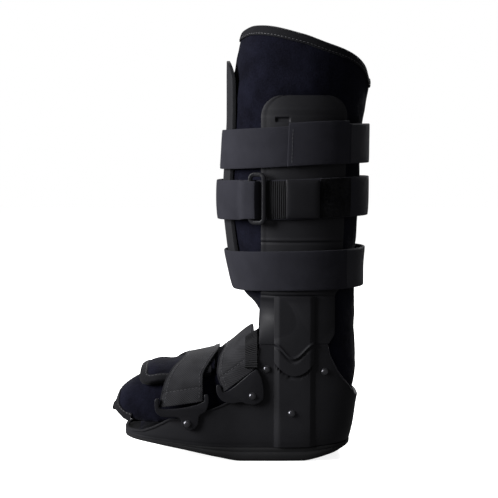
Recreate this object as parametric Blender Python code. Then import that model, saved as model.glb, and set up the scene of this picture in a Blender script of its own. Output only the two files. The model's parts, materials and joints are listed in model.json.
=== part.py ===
"""Walking boot: a tall rigid orthopaedic walker with a padded liner, in metres, +Z up.

The toe points to -X, the near side is -Y, and the origin is on the ground under the middle of the boot.
"""
import math

import bmesh
import bpy
from mathutils import Matrix, Vector

# Overall sizes
BOOT_HEIGHT = 0.440
SOLE_LENGTH = 0.2427
SHELL_WIDTH = 0.105
SHELL_TOP = 0.121
SOLE_HEIGHT = 0.015
SOLE_ROUND = 0.004
SOLE_ROUND_SHARE = 0.35
CALF_WIDTH = 0.120
CALF_DEPTH = 0.148
CALF_OVERHANG = 0.012
ANKLE_DEPTH = 0.1023
INSTEP_SHARE = 0.1536
INSTEP_TOP = SHELL_TOP + INSTEP_SHARE * (BOOT_HEIGHT - SHELL_TOP)

# Walls
SHELL_WALL = 0.003
FLOOR_WALL = 0.003
LINER_WALL = 0.008
UPRIGHT_WALL = 0.0035
PANEL_WALL = 0.003
STRAP_WALL = 0.0028
FLAP_WALL = 0.006
BRACKET_WALL = 0.003
INSOLE_WALL = 0.005

# Fits
GAP = 0.0003
FIT = 0.0006
HEEL_CLEARANCE = 0.001
LINER_EASE = 0.001
STRAP_OFFSET = FIT + UPRIGHT_WALL + FIT

# Rigid shell
HEEL_RAKE = 0.009
TOE_POWER = 3.0
HEEL_POWER = 4.0
CHANNEL_RISE = 0.0022
CHANNEL_BEVEL = 0.005
CHANNEL_FRONT = 0.0335
CHANNEL_WIDTH = 0.0415
EAR_FRONT = 0.018
EAR_LENGTH = 0.071
SHELL_MARGIN = 0.012
CHANNEL_SHADOW = 0.0015
CHANNEL_EDGE = 0.35
BLOCK_EDGE = 0.10
BLOCK_LEVELS = (0.0, 0.06, 0.15, 0.40, 0.64)

# Uprights, whose struts run up to the instep's top
STRUT_TOP = INSTEP_TOP
CUFF_TOP = 0.371
CUFF_LENGTH = 0.087
CUFF_CORNER = 0.021
STRUT_LENGTH = 0.077
STRUT_FLARE_LOW = 0.012
STRUT_FLARE_HIGH = 0.010
TONGUE_DROP = 0.032
TONGUE_CURVE = 0.014
TONGUE_WALL = 0.003
CUFF_STEP = 0.002

# Straps round the leg: width, height of the middle of the front, and rise towards the heel
LEG_STRAP_WIDTH = 0.040
LOWER_STRAP_LIFT = 0.024
LOWER_STRAP_HEIGHT = INSTEP_TOP + LOWER_STRAP_LIFT
STRAP_SPACING = 0.0325
STRAP_CLEARANCE = 0.011
MIDDLE_STRAP_HEIGHT = LOWER_STRAP_HEIGHT + LEG_STRAP_WIDTH + STRAP_SPACING
UPPER_STRAP_HEIGHT = MIDDLE_STRAP_HEIGHT + LEG_STRAP_WIDTH + STRAP_CLEARANCE
UPPER_STRAP_RISE = 0.007
MIDDLE_STRAP_RISE = 0.004
LOWER_STRAP_RISE = 0.004
UPPER_STRAP_STEP = 0.003
OVERLAP_FRONT = 0.047
OVERLAP_ANGLES = (20.0, 145.0)
OVERLAP_LAYERS = 1.4
FOLD_LAYERS = 2.0

# Liner
LEVEL_SHARE = 0.64
LEVEL_STEP = 0.028
TOP_STEPS = 5
FOOT_START = -0.030
FOOT_END = 0.085
FOOT_STEPS = 9
HEEL_PAD = 0.004
INSOLE_START = -0.109
INSOLE_END = -0.010
INSOLE_EASE = 0.002
INSOLE_LEVEL = 0.06
LEAN_STEPS = 6

# Toe flaps
LOWER_FLAP_FOOT = -0.114
LOWER_FLAP_TIP = -0.1327
UPPER_FLAP_TIP = -0.103
FLAP_RUN = 0.40
FLAP_FOOT_RUN = 0.2
FLAP_FOOT_POWER = 0.6

# Foot straps: height of the two corners of the lower end as shares of SHELL_TOP, and how far the strap
# stands off the liner's foot at its ends and at its top
FRONT_STRAP_FOOT = (0.471, 0.525)
FRONT_STRAP_LIFTS = (0.0078, 0.0070)
REAR_STRAP_FOOT = (0.603, 0.793)
REAR_STRAP_LIFTS = (0.0080, 0.0030)
TAB_FRONT = 0.004
TAB_BACK = 0.0165
TAB_FOOT = 0.80
TAB_TOP_ANGLE = 60.0

# Small parts
BUCKLE_FRONT = 0.007
BUCKLE_LENGTH = 0.018
BUCKLE_HEIGHT = 0.048
BUCKLE_EASE = 0.0006
KEEPER_FRONT = 0.045
KEEPER_HEIGHT = 0.0385
BUCKLE_BAR = 0.0045
KEEPER_LENGTH = 0.033
KEEPER_WALL = 0.002
RIVET_RADIUS = 0.0032
RIVET_RISE = 0.0019
PANEL_WIDTH = 0.058
PANEL_LIFT = 0.010
PANEL_TOP = 0.408
PANEL_FOOT = INSTEP_TOP + PANEL_LIFT
PANEL_CORNER = 0.024
PANEL_CORNER_SHARE = 0.8
PANEL_FLARE = 0.0055
PANEL_FLARE_RUN = 0.070

# Roundness of the sections of the liner's leg and foot
LEG_POWER = 2.2
FOOT_POWER = 2.5

# Facets round the plan, the leg, a leg strap, the foot and a rivet, and across the gridded plates
PLAN_POINTS = 44
LEG_POINTS = 30
STRAP_POINTS = 48
FOOT_POINTS = 18
RIVET_POINTS = 8
STRAP_ROWS = 2
UPRIGHT_GRID = 10
CHANNEL_GRID = (8, 10)
PANEL_GRID = 8
FOOT_STRAP_GRID = (20, 2)
TAB_GRID = (10, 2)
KEEPER_GRID = 5
FLAP_GRID = (12, 6)
INSOLE_GRID = (2, 12)

NEAR = -1
FAR = 1
PARTS_NAME = "walking_boot"

# Sole and floor along the foot: place along the sole, underside and top as shares of SOLE_HEIGHT
ROCKER_COLUMNS = ("place", "underside", "top")
ROCKER_ROWS = (
    (-0.500, 1.400, 1.667),
    (-0.424, 1.267, 1.533),
    (-0.325, 1.033, 1.400),
    (-0.260, 0.853, 1.300),
    (-0.177, 0.567, 1.150),
    (-0.099, 0.280, 1.050),
    (0.000, 0.000, 1.000),
    (0.260, 0.000, 1.000),
    (0.310, 0.133, 1.013),
    (0.350, 0.300, 1.060),
    (0.396, 0.520, 1.120),
    (0.433, 0.780, 1.180),
    (0.500, 1.100, 1.320),
)

# Plan of the shell: share of the half width along the sole, before its rounded ends
WAIST_COLUMNS = ("place", "width")
WAIST_ROWS = (
    (-0.50, 1.000),
    (-0.20, 1.000),
    (0.00, 0.955),
    (0.20, 0.965),
    (0.50, 0.980),
)

# How the shell's wall grows from its floor: height, width, and how far the heel is raked in
WALL_COLUMNS = ("height", "width", "rake")
WALL_ROWS = (
    (0.00, 0.955, 1.00),
    (0.06, 0.985, 0.80),
    (0.15, 1.000, 0.55),
    (0.32, 1.000, 0.25),
    (0.45, 1.000, 0.00),
    (1.00, 1.000, 0.00),
)

# Rim of the shell seen from the side: place along the sole and height as a share of SHELL_TOP
OUTLINE_COLUMNS = ("place", "height")
RIM_FRONT_ROWS = (
    (-0.530, 0.248),
    (-0.412, 0.258),
    (-0.363, 0.298),
    (-0.300, 0.366),
    (-0.198, 0.380),
    (-0.188, 0.405),
    (-0.070, 0.496),
    (0.012, 0.579),
    (0.041, 0.645),
    (0.066, 0.760),
)
RIM_HEEL_ROWS = (
    (0.367, 0.926),
    (0.412, 0.752),
    (0.461, 0.620),
    (0.486, 0.545),
    (0.530, 0.520),
)

# Leg of the liner: height, then how far the front, back and side have grown from ankle to calf
LEG_COLUMNS = ("height", "front", "back", "side")
HEEL_ROWS = (
    (0.223, -0.25, -1.42, -0.500),
    (0.281, -0.19, -1.20, -0.286),
    (0.413, -0.07, -0.80, -0.107),
    (0.545, -0.01, -0.45, -0.071),
    (0.702, 0.00, 0.00, -0.036),
    (1.000, 0.00, 0.00, 0.000),
)
LEG_ROWS = (
    (0.078, 0.006, 0.000, 0.107),
    (0.106, 0.110, 0.000, 0.143),
    (0.132, 0.288, 0.000, 0.179),
    (INSTEP_SHARE, 0.525, -0.040, 0.250),
    (0.232, 0.733, -0.083, 0.429),
    (0.317, 0.881, 0.083, 0.607),
    (0.461, 1.000, 0.330, 0.786),
    (0.624, 0.926, 0.360, 0.857),
    (0.706, 0.881, 0.400, 0.910),
    (0.748, 0.865, 0.800, 0.940),
    (0.834, 0.800, 1.000, 1.000),
    (0.928, 0.660, 0.917, 1.000),
    (1.000, 0.480, 0.640, 0.954),
)

# Top edge of the liner seen from the side: share of the calf's depth from front to back, and height
TOP_COLUMNS = ("depth", "height")
TOP_ROWS = (
    (0.08, 0.988),
    (0.19, 1.000),
    (0.52, 0.978),
    (0.66, 0.962),
    (0.86, 0.938),
    (0.95, 0.914),
    (0.985, 0.885),
)

# Foot of the liner: place along the sole, half width, height of its widest level, and top
FOOT_COLUMNS = ("place", "side", "base", "top")
FOOT_ROWS = (
    (-0.545, 0.150, 0.380, 0.440),
    (-0.525, 0.250, 0.362, 0.540),
    (-0.490, 0.310, 0.355, 0.610),
    (-0.420, 0.375, 0.347, 0.690),
    (-0.330, 0.410, 0.355, 0.752),
    (-0.235, 0.433, 0.372, 0.789),
    (-0.124, 0.429, 0.430, 0.835),
    (-0.066, 0.419, 0.479, 0.897),
    (0.049, 0.410, 0.529, 1.070),
    (0.124, 0.410, 0.579, 1.124),
    (0.247, 0.410, 0.579, 1.074),
    (0.350, 0.362, 0.496, 0.909),
)

# Edges of the foot straps: share of the rise over the foot, and place along the sole
EDGE_COLUMNS = ("rise", "front", "back")
FRONT_STRAP_EDGES = (
    (0.00, -0.338, -0.158),
    (0.50, -0.316, -0.160),
    (0.80, -0.284, -0.130),
    (1.00, -0.235, -0.092),
)
REAR_STRAP_EDGES = (
    (0.00, -0.070, 0.058),
    (0.50, -0.096, 0.056),
    (0.80, -0.090, 0.054),
    (1.00, -0.066, 0.050),
)

# Rivets on each side: place along the sole and height as a share of SHELL_TOP
RIVET_COLUMNS = ("name", "place", "height", "carrier")
RIVET_ROWS = (
    ("ear_front", 0.106, 0.793, "shell"),
    ("ear_back", 0.348, 0.769, "shell"),
    ("bracket_rear", 0.046, 0.570, "rear"),
    ("channel", 0.210, 0.421, "channel"),
    ("bracket_front", -0.226, 0.338, "front"),
)

# Side outlines of the strap brackets: place along the sole and height as a share of SHELL_TOP
FRONT_BRACKET_ROWS = (
    (-0.3605, 0.479),
    (-0.354, 0.430),
    (-0.330, 0.393),
    (-0.2555, 0.380),
    (-0.245, 0.314),
    (-0.2266, 0.2835),
    (-0.202, 0.2835),
    (-0.179, 0.3306),
    (-0.173, 0.401),
    (-0.148, 0.438),
    (-0.136, 0.496),
    (-0.137, 0.5785),
    (-0.1537, 0.5785),
    (-0.3415, 0.545),
    (-0.357, 0.545),
)
REAR_BRACKET_ROWS = (
    (-0.101, 0.595),
    (-0.078, 0.529),
    (-0.037, 0.504),
    (0.004, 0.516),
    (0.025, 0.500),
    (0.058, 0.496),
    (0.091, 0.537),
    (0.095, 0.628),
    (0.085, 0.727),
    (0.068, 0.789),
    (-0.0857, 0.657),
    (-0.101, 0.661),
)


def column(rows, columns, name):
    """One named column of a table."""
    index = columns.index(name)
    return [row[index] for row in rows]


def slopes(places, values):
    """Slopes of a smooth curve through a table that never overshoots its values."""
    steps = [(values[i + 1] - values[i]) / (places[i + 1] - places[i]) for i in range(len(places) - 1)]
    inner = []
    for before, after in zip(steps, steps[1:]):
        level = before * after <= 0.0
        inner.append(0.0 if level else 2.0 * before * after / (before + after))
    return [steps[0]] + inner + [steps[-1]]


def smooth(place, places, values):
    """Value of the smooth curve through a table at one place."""
    if place <= places[0]:
        return values[0]
    if place >= places[-1]:
        return values[-1]
    tangents = slopes(places, values)
    i = max(k for k in range(len(places) - 1) if places[k] <= place)
    width = places[i + 1] - places[i]
    t = (place - places[i]) / width
    start = (1 + 2 * t) * (1 - t) ** 2 * values[i] + t * (1 - t) ** 2 * width * tangents[i]
    end = t * t * (3 - 2 * t) * values[i + 1] + t * t * (t - 1) * width * tangents[i + 1]
    return start + end


def lerp(start, end, share):
    return start + (end - start) * share


def signed_power(value, power):
    return math.copysign(abs(value) ** power, value)


def rocker(x, name):
    """Height of the sole's underside or top at a place along the foot."""
    places = column(ROCKER_ROWS, ROCKER_COLUMNS, "place")
    shares = column(ROCKER_ROWS, ROCKER_COLUMNS, name)
    return SOLE_HEIGHT * smooth(x / SOLE_LENGTH, places, shares)


def shell_floor(x):
    """Height of the shell's inner floor."""
    return rocker(x, "top") + GAP + FLOOR_WALL


def waist_share(x):
    """Share of the full half width that the plan keeps at a place, before its rounded ends."""
    places = column(WAIST_ROWS, WAIST_COLUMNS, "place")
    return smooth(x / SOLE_LENGTH, places, column(WAIST_ROWS, WAIST_COLUMNS, "width"))


def plan_ends(height, inset):
    """Middle and half length of the shell's plan at a share of its height."""
    heights = column(WALL_ROWS, WALL_COLUMNS, "height")
    rake = HEEL_RAKE * smooth(height, heights, column(WALL_ROWS, WALL_COLUMNS, "rake"))
    front = -SOLE_LENGTH / 2 + inset
    back = SOLE_LENGTH / 2 - rake - inset
    return (front + back) / 2, (back - front) / 2


def plan_half(x, height, inset):
    """Half width of the shell's plan at a place, before its rounded ends."""
    heights = column(WALL_ROWS, WALL_COLUMNS, "height")
    spread = smooth(height, heights, column(WALL_ROWS, WALL_COLUMNS, "width"))
    return SHELL_WIDTH / 2 * waist_share(x) * spread - inset


def end_power(lengthwise):
    """Roundness of the plan's toe or heel."""
    return TOE_POWER if lengthwise < 0 else HEEL_POWER


def shell_side(x, inset=0.0, height=1.0):
    """Half width of the shell's wall at a place along the foot and a share of its height."""
    middle, half_length = plan_ends(height, inset)
    share = (x - middle) / half_length
    power = end_power(share)
    return plan_half(x, height, inset) * (1.0 - min(1.0, abs(share)) ** power) ** (1.0 / power)


def plan_point(angle, height, inset):
    """Point of the shell's plan. Angle 0 is the toe, a quarter turn the near side, a half turn the heel."""
    middle, half_length = plan_ends(height, inset)
    x = middle - half_length * math.cos(angle)
    return x, -math.copysign(shell_side(x, inset, height), math.sin(angle))


# Plan of the liner's leg at the ankle and at the calf
ANKLE_BACK = SOLE_LENGTH / 2 - HEEL_CLEARANCE
ANKLE_FRONT = ANKLE_BACK - ANKLE_DEPTH
CALF_BACK = ANKLE_BACK + CALF_OVERHANG
CALF_FRONT = CALF_BACK - CALF_DEPTH
ANKLE_SIDE = shell_side((ANKLE_FRONT + ANKLE_BACK) / 2) - SHELL_WALL - GAP - LINER_EASE


def leg_rows():
    """Heel and leg rows together, with heights in metres."""
    heel = [(SHELL_TOP * row[0],) + row[1:] for row in HEEL_ROWS]
    leg = [(lerp(SHELL_TOP, BOOT_HEIGHT, row[0]),) + row[1:] for row in LEG_ROWS]
    return heel + leg


LEG_TABLE = leg_rows()


def leg_section(z):
    """Middle, half depth and half width of the liner's leg at a height."""
    heights = column(LEG_TABLE, LEG_COLUMNS, "height")
    front = lerp(ANKLE_FRONT, CALF_FRONT, smooth(z, heights, column(LEG_TABLE, LEG_COLUMNS, "front")))
    back = lerp(ANKLE_BACK, CALF_BACK, smooth(z, heights, column(LEG_TABLE, LEG_COLUMNS, "back")))
    side = lerp(ANKLE_SIDE, CALF_WIDTH / 2, smooth(z, heights, column(LEG_TABLE, LEG_COLUMNS, "side")))
    return (front + back) / 2, (back - front) / 2, side


def leg_point(angle, z, offset):
    """Point on the liner's leg moved out by an offset. Angle 0 is the front, a quarter turn the near side."""
    middle, depth, side = leg_section(z)
    power = 2.0 / LEG_POWER
    x = middle - (depth + offset) * signed_power(math.cos(angle), power)
    y = -(side + offset) * signed_power(math.sin(angle), power)
    return Vector((x, y, z))


def leg_side(x, z, offset):
    """Half width of the liner's leg, moved out by an offset, at a place and height."""
    middle, depth, side = leg_section(z)
    share = min(1.0, abs(x - middle) / (depth + offset))
    return (side + offset) * (1.0 - share ** LEG_POWER) ** (1.0 / LEG_POWER)


def liner_top(x):
    """Height of the liner's top edge at a place from front to back."""
    depths = column(TOP_ROWS, TOP_COLUMNS, "depth")
    heights = column(TOP_ROWS, TOP_COLUMNS, "height")
    return BOOT_HEIGHT * smooth((x - CALF_FRONT) / CALF_DEPTH, depths, heights)


def foot_section(x):
    """Half width, widest level and top of the liner's foot at a place."""
    places = column(FOOT_ROWS, FOOT_COLUMNS, "place")
    place = x / SOLE_LENGTH
    side = SHELL_WIDTH * smooth(place, places, column(FOOT_ROWS, FOOT_COLUMNS, "side"))
    base = SHELL_TOP * smooth(place, places, column(FOOT_ROWS, FOOT_COLUMNS, "base"))
    top = SHELL_TOP * smooth(place, places, column(FOOT_ROWS, FOOT_COLUMNS, "top"))
    return side, base, top


def foot_point(x, angle, offset):
    """Point on the upper half of the foot moved out. Angle 0 is the near side, a quarter turn the top."""
    side, base, top = foot_section(x)
    power = 2.0 / FOOT_POWER
    y = -(side + offset) * signed_power(math.cos(angle), power)
    z = base + (top + offset - base) * signed_power(math.sin(angle), power)
    return Vector((x, y, z))


def foot_angle(x, z, offset):
    """Angle on the foot's near side at which its surface is at a height."""
    side, base, top = foot_section(x)
    share = max(0.0, min(1.0, (z - base) / (top + offset - base)))
    return math.asin(share ** (FOOT_POWER / 2.0))


def clear_scene():
    for thing in list(bpy.data.objects):
        bpy.data.objects.remove(thing)


def collection(name):
    folder = bpy.data.collections.new(name)
    bpy.context.scene.collection.children.link(folder)
    return folder


def material(name, colour, roughness, metallic=0.0):
    """A plain principled material with one colour."""
    made = bpy.data.materials.new(name)
    made.use_nodes = True
    shader = made.node_tree.nodes["Principled BSDF"]
    shader.inputs["Base Color"].default_value = (*colour, 1.0)
    shader.inputs["Roughness"].default_value = roughness
    shader.inputs["Metallic"].default_value = metallic
    return made


def object_from(mesh_builder, name, folder, finish=None):
    """An object from a bmesh, with its faces turned outwards."""
    bmesh.ops.recalc_face_normals(mesh_builder, faces=mesh_builder.faces)
    mesh = bpy.data.meshes.new(name)
    mesh_builder.to_mesh(mesh)
    mesh_builder.free()
    made = bpy.data.objects.new(name, mesh)
    folder.objects.link(made)
    if finish is None:
        made.hide_render = True
        made.display_type = "WIRE"
    else:
        mesh.materials.append(finish)
    return made


def loft(rings, name, folder, finish=None, ladder=False):
    """A closed solid through rings of equal point counts, capped at both ends."""
    builder = bmesh.new()
    verts = [[builder.verts.new(point) for point in ring] for ring in rings]
    count = len(verts[0])
    for low, high in zip(verts, verts[1:]):
        for i in range(count):
            j = (i + 1) % count
            builder.faces.new((low[i], low[j], high[j], high[i]))
    for ring in (verts[0], verts[-1]):
        cap(builder, ring, ladder)
    return object_from(builder, name, folder, finish)


def cap(builder, ring, ladder):
    """Close a ring with one face, or with strips between points that face each other across Y."""
    if not ladder:
        builder.faces.new(ring)
        return
    half = len(ring) // 2
    builder.faces.new((ring[0], ring[1], ring[-1]))
    builder.faces.new((ring[half], ring[half + 1], ring[half - 1]))
    for i in range(1, half - 1):
        builder.faces.new((ring[i], ring[i + 1], ring[-i - 1], ring[-i]))


def sheet_solid(inner, outer, across, along, name, folder, finish=None, loop=False):
    """A closed solid between two surfaces over a grid, open all round its edge or a loop across."""
    builder = bmesh.new()
    columns = across if loop else across + 1
    layers = []
    for surface in (inner, outer):
        grid = []
        for j in range(along + 1):
            row = [builder.verts.new(surface(i / across, j / along)) for i in range(columns)]
            grid.append(row)
        layers.append(grid)
    steps = [(i, (i + 1) % columns) for i in range(across)]
    for grid in layers:
        for j in range(along):
            for i, k in steps:
                builder.faces.new((grid[j][i], grid[j][k], grid[j + 1][k], grid[j + 1][i]))
    low, high = layers
    for j in (0, along):
        for i, k in steps:
            builder.faces.new((low[j][i], low[j][k], high[j][k], high[j][i]))
    if not loop:
        for i in (0, across):
            for j in range(along):
                builder.faces.new((low[j][i], low[j + 1][i], high[j + 1][i], high[j][i]))
    return object_from(builder, name, folder, finish)


def prism(outline, start, end, name, folder, finish=None):
    """A side outline of X and Z points extruded along Y."""
    rings = [[Vector((x, y, z)) for x, z in outline] for y in (start, end)]
    return loft(rings, name, folder, finish)


def boolean(target, cutter, operation):
    """Cut, join or keep the overlap of a target with a cutter."""
    modifier = target.modifiers.new(operation.lower() + "_" + cutter.name, "BOOLEAN")
    modifier.operation = operation
    modifier.solver = "EXACT"
    modifier.object = cutter
    return modifier


def arc(centre_x, centre_z, radius, start, end, count):
    """Points on an arc, with angles in degrees."""
    angles = [math.radians(lerp(start, end, i / count)) for i in range(count + 1)]
    return [(centre_x + radius * math.cos(a), centre_z + radius * math.sin(a)) for a in angles]


def turn(i, count):
    return 2.0 * math.pi * i / count


def build_outsole(folder, finish):
    """Rubber rocker sole: flat under the middle, curved up to toe and heel."""
    rings = []
    for share, inset in ((0.0, SOLE_ROUND), (SOLE_ROUND_SHARE, FIT), (1.0, 0.0)):
        ring = []
        for i in range(PLAN_POINTS):
            x, y = plan_point(turn(i, PLAN_POINTS), 0.0, inset)
            ring.append(Vector((x, y, lerp(rocker(x, "underside"), rocker(x, "top"), share))))
        rings.append(ring)
    return loft(rings, "outsole", folder, finish, ladder=True)


def shell_rings(inset, lift, top):
    """Rings of the shell's outer or inner form, from its floor to a level above its rim."""
    rings = []
    for height in column(WALL_ROWS, WALL_COLUMNS, "height"):
        ring = []
        for i in range(PLAN_POINTS):
            x, y = plan_point(turn(i, PLAN_POINTS), height, inset)
            base = rocker(x, "top") + GAP + lift
            ring.append(Vector((x, y, lerp(base, top, height))))
        rings.append(ring)
    return rings


def tongue_low(share):
    """Height of the tongue's curved lower edge at a share of its width."""
    return SHELL_TOP - TONGUE_DROP + TONGUE_CURVE * (2.0 * share - 1.0) ** 2


def bevel_share(across, edge):
    """Rise of a raised channel across its width: full in the middle, an edge share at its sides."""
    return min(1.0, lerp(edge, 1.0, min(across, 1.0 - across) * CHANNEL_WIDTH / CHANNEL_BEVEL))


def channel_block(side, cutters):
    """Raised panel on one side of the shell, under the tongue."""
    def face(raised):
        def surface(across, along):
            x = CHANNEL_FRONT + CHANNEL_WIDTH * across
            height = BLOCK_LEVELS[round(along * (len(BLOCK_LEVELS) - 1))]
            rise = CHANNEL_RISE * bevel_share(across, BLOCK_EDGE) if raised else -SHELL_WALL / 2
            z = lerp(rocker(x, "top") + GAP, SHELL_TOP + SHELL_MARGIN, height)
            z = min(tongue_low(across) - CHANNEL_SHADOW, z)
            return Vector((x, side * (shell_side(x, height=height) + rise), z))
        return surface

    return sheet_solid(face(0), face(1), CHANNEL_GRID[0], len(BLOCK_LEVELS) - 1, "channel_block", cutters)


def side_outline(rows):
    """Points of a side outline whose rows are shares of the sole's length and the shell's top."""
    places = column(rows, OUTLINE_COLUMNS, "place")
    heights = column(rows, OUTLINE_COLUMNS, "height")
    return [(SOLE_LENGTH * place, SHELL_TOP * height) for place, height in zip(places, heights)]


def rim_outline():
    """Side outline of what is cut away above the shell's rim."""
    front = side_outline(RIM_FRONT_ROWS)
    heel = side_outline(RIM_HEEL_ROWS)
    ear = [(EAR_FRONT, SHELL_TOP), (EAR_FRONT + EAR_LENGTH, SHELL_TOP)]
    above = SHELL_TOP + 2 * SHELL_MARGIN
    return front + ear + heel + [(heel[-1][0], above), (front[0][0], above)]


def build_shell(folder, cutters, finish):
    """Hollow hard shell: floor, walls, ears and a raised panel on each side."""
    shell = loft(shell_rings(0.0, 0.0, SHELL_TOP + SHELL_MARGIN), "shell_base", folder, finish, ladder=True)
    inside = shell_rings(SHELL_WALL, FLOOR_WALL, SHELL_TOP + 2 * SHELL_MARGIN)
    for side in (NEAR, FAR):
        boolean(shell, channel_block(side, cutters), "UNION")
    boolean(shell, loft(inside, "shell_inside", cutters, ladder=True), "DIFFERENCE")
    boolean(shell, prism(rim_outline(), -SHELL_WIDTH, SHELL_WIDTH, "rim_cutter", cutters), "DIFFERENCE")
    return shell


def leg_rings(offset, rows, extra_top):
    """Rings of the liner's leg: level rows first, then rows that lean over to the slanted top edge."""
    rings = []
    for z in rows:
        rings.append([leg_point(turn(i, LEG_POINTS), z, offset) for i in range(LEG_POINTS)])
    start = rows[-1]
    for k in range(1, TOP_STEPS + 1):
        ring = []
        for i in range(LEG_POINTS):
            point = leg_point(turn(i, LEG_POINTS), start, offset)
            for _ in range(LEAN_STEPS):
                z = lerp(start, liner_top(point.x), k / TOP_STEPS)
                point = leg_point(turn(i, LEG_POINTS), z, offset)
            ring.append(point)
        rings.append(ring)
    if extra_top:
        rings.append([Vector((p.x, p.y, BOOT_HEIGHT + extra_top)) for p in rings[-1]])
    return rings


def foot_ring(x, offset, low):
    """Closed section of the liner's foot at one place."""
    side, base, top = foot_section(x)
    power = 2.0 / FOOT_POWER
    ring = []
    for i in range(FOOT_POINTS):
        angle = turn(i, FOOT_POINTS)
        rise = signed_power(math.sin(angle), power)
        reach = (top + offset - base) if rise > 0 else (base - low)
        ring.append(Vector((x, -(side + offset) * signed_power(math.cos(angle), power), base + reach * rise)))
    return ring


def leg_levels(low, high):
    """Heights of the leg's table and the levels half way between them, within two heights."""
    heights = column(LEG_TABLE, LEG_COLUMNS, "height")
    between = [(a + b) / 2 for a, b in zip(heights, heights[1:]) if b - a > LEVEL_STEP and a > SHELL_TOP]
    inside = sorted(z for z in heights + between if low + GAP < z < high - GAP)
    return [low] + inside + [high]


def build_liner(folder, cutters, finish):
    """Padded hollow boot: leg, foot and the sole that runs on to the toes."""
    rows = leg_levels(LEG_TABLE[0][0], lerp(SHELL_TOP, BOOT_HEIGHT, LEVEL_SHARE))
    liner = loft(leg_rings(0.0, rows, 0.0), "liner", folder, finish, ladder=True)
    places = [lerp(FOOT_START, FOOT_END, i / FOOT_STEPS) for i in range(FOOT_STEPS + 1)]
    outer = [foot_ring(x, 0.0, shell_floor(x) + FIT) for x in places]
    boolean(liner, loft(outer, "foot_outside", cutters), "UNION")

    def insole(lift):
        def surface(across, along):
            x = lerp(INSOLE_START, INSOLE_END, along)
            half = shell_side(x, SHELL_WALL + INSOLE_EASE, INSOLE_LEVEL)
            return Vector((x, lerp(-half, half, across), shell_floor(x) + lift))
        return surface

    pad = sheet_solid(insole(FIT), insole(FIT + INSOLE_WALL), *INSOLE_GRID, "insole_plate", cutters)
    boolean(liner, pad, "UNION")
    inner_rows = [rows[1] + HEEL_PAD] + rows[3:]
    hollow_leg = loft(leg_rings(-LINER_WALL, inner_rows, SHELL_MARGIN), "leg_inside", cutters, ladder=True)
    boolean(liner, hollow_leg, "DIFFERENCE")
    places = [lerp(FOOT_START - SHELL_MARGIN, FOOT_END - LINER_WALL, i / FOOT_STEPS) for i in range(FOOT_STEPS + 1)]
    inner = [foot_ring(x, -LINER_WALL, shell_floor(x) + FIT + INSOLE_WALL) for x in places]
    boolean(liner, loft(inner, "foot_inside", cutters), "DIFFERENCE")
    return liner


def upright_inner(x, z):
    """How far out an upright's inner face lies: at the shell's wall below, on the liner above."""
    share = min(1.0, max(0.0, (z - SHELL_TOP) / (STRUT_TOP - SHELL_TOP)))
    on_liner = leg_side(x, z, FIT)
    blended = lerp(shell_side(x, SHELL_WALL), on_liner, share * share * (3 - 2 * share))
    return max(on_liner, blended)


def cuff_edges(z):
    """Front and back of an upright seen from the side, at a height."""
    strut_back = EAR_FRONT + STRUT_LENGTH
    front = lerp(EAR_FRONT, EAR_FRONT + CUFF_STEP, min(1.0, (z - SHELL_TOP) / (STRUT_TOP - SHELL_TOP)))
    heights = (SHELL_TOP, SHELL_TOP + STRUT_FLARE_LOW, STRUT_TOP, STRUT_TOP + STRUT_FLARE_HIGH, CUFF_TOP)
    backs = (
        EAR_FRONT + EAR_LENGTH,
        strut_back,
        strut_back,
        EAR_FRONT + CUFF_LENGTH - 2 * CUFF_STEP,
        EAR_FRONT + CUFF_STEP + CUFF_LENGTH,
    )
    back = smooth(z, heights, backs)
    over = z - (CUFF_TOP - CUFF_CORNER)
    if over > 0.0:
        tuck = CUFF_CORNER - math.sqrt(max(0.0, CUFF_CORNER ** 2 - over ** 2))
        front += tuck
        back -= tuck
    return front, back


def upright_heights():
    """Heights of an upright's rows, closer together round its top corners."""
    straight = CUFF_TOP - CUFF_CORNER
    rows = leg_levels(SHELL_TOP + GAP, straight)
    corner = [straight + CUFF_CORNER * math.sin(math.radians(a)) for a in (30, 55, 75, 90)]
    return rows + corner


def build_upright(name, side, folder, cutters, finish):
    """One hard side upright: calf cuff, strut, raised channel and the tongue over the shell."""
    heights = upright_heights()
    steps = len(heights) - 1

    def face(lift):
        def surface(across, along):
            z = heights[round(along * steps)]
            front, back = cuff_edges(z)
            x = lerp(front, back, across)
            return Vector((x, side * (upright_inner(x, z) + lift), z))
        return surface

    upright = sheet_solid(face(0.0), face(UPRIGHT_WALL), UPRIGHT_GRID, steps, name, folder, finish)
    top_of_seat = SHELL_TOP + 2 * GAP

    def channel(lift):
        def surface(across, along):
            x = CHANNEL_FRONT + CHANNEL_WIDTH * across
            low = tongue_low(across)
            levels = (low, top_of_seat, top_of_seat + UPRIGHT_WALL, STRUT_TOP)
            z = levels[0]
            for begin, finish_share, start, end in ((0.0, 0.5, 0, 1), (0.5, 0.6, 1, 2), (0.6, 1.0, 2, 3)):
                if along > begin:
                    z = lerp(levels[start], levels[end], min(1.0, (along - begin) / (finish_share - begin)))
            bevel = bevel_share(across, CHANNEL_EDGE)
            outside = max(upright_inner(x, max(z, SHELL_TOP)) + UPRIGHT_WALL, shell_side(x))
            if lift:
                return Vector((x, side * (outside + GAP + TONGUE_WALL * bevel), z))
            seat = shell_side(x) + GAP if z <= top_of_seat + GAP else outside - UPRIGHT_WALL / 2
            return Vector((x, side * seat, z))
        return surface

    tongue = sheet_solid(channel(0), channel(1), *CHANNEL_GRID, name + "_channel", cutters)
    boolean(upright, tongue, "UNION")
    return upright


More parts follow.
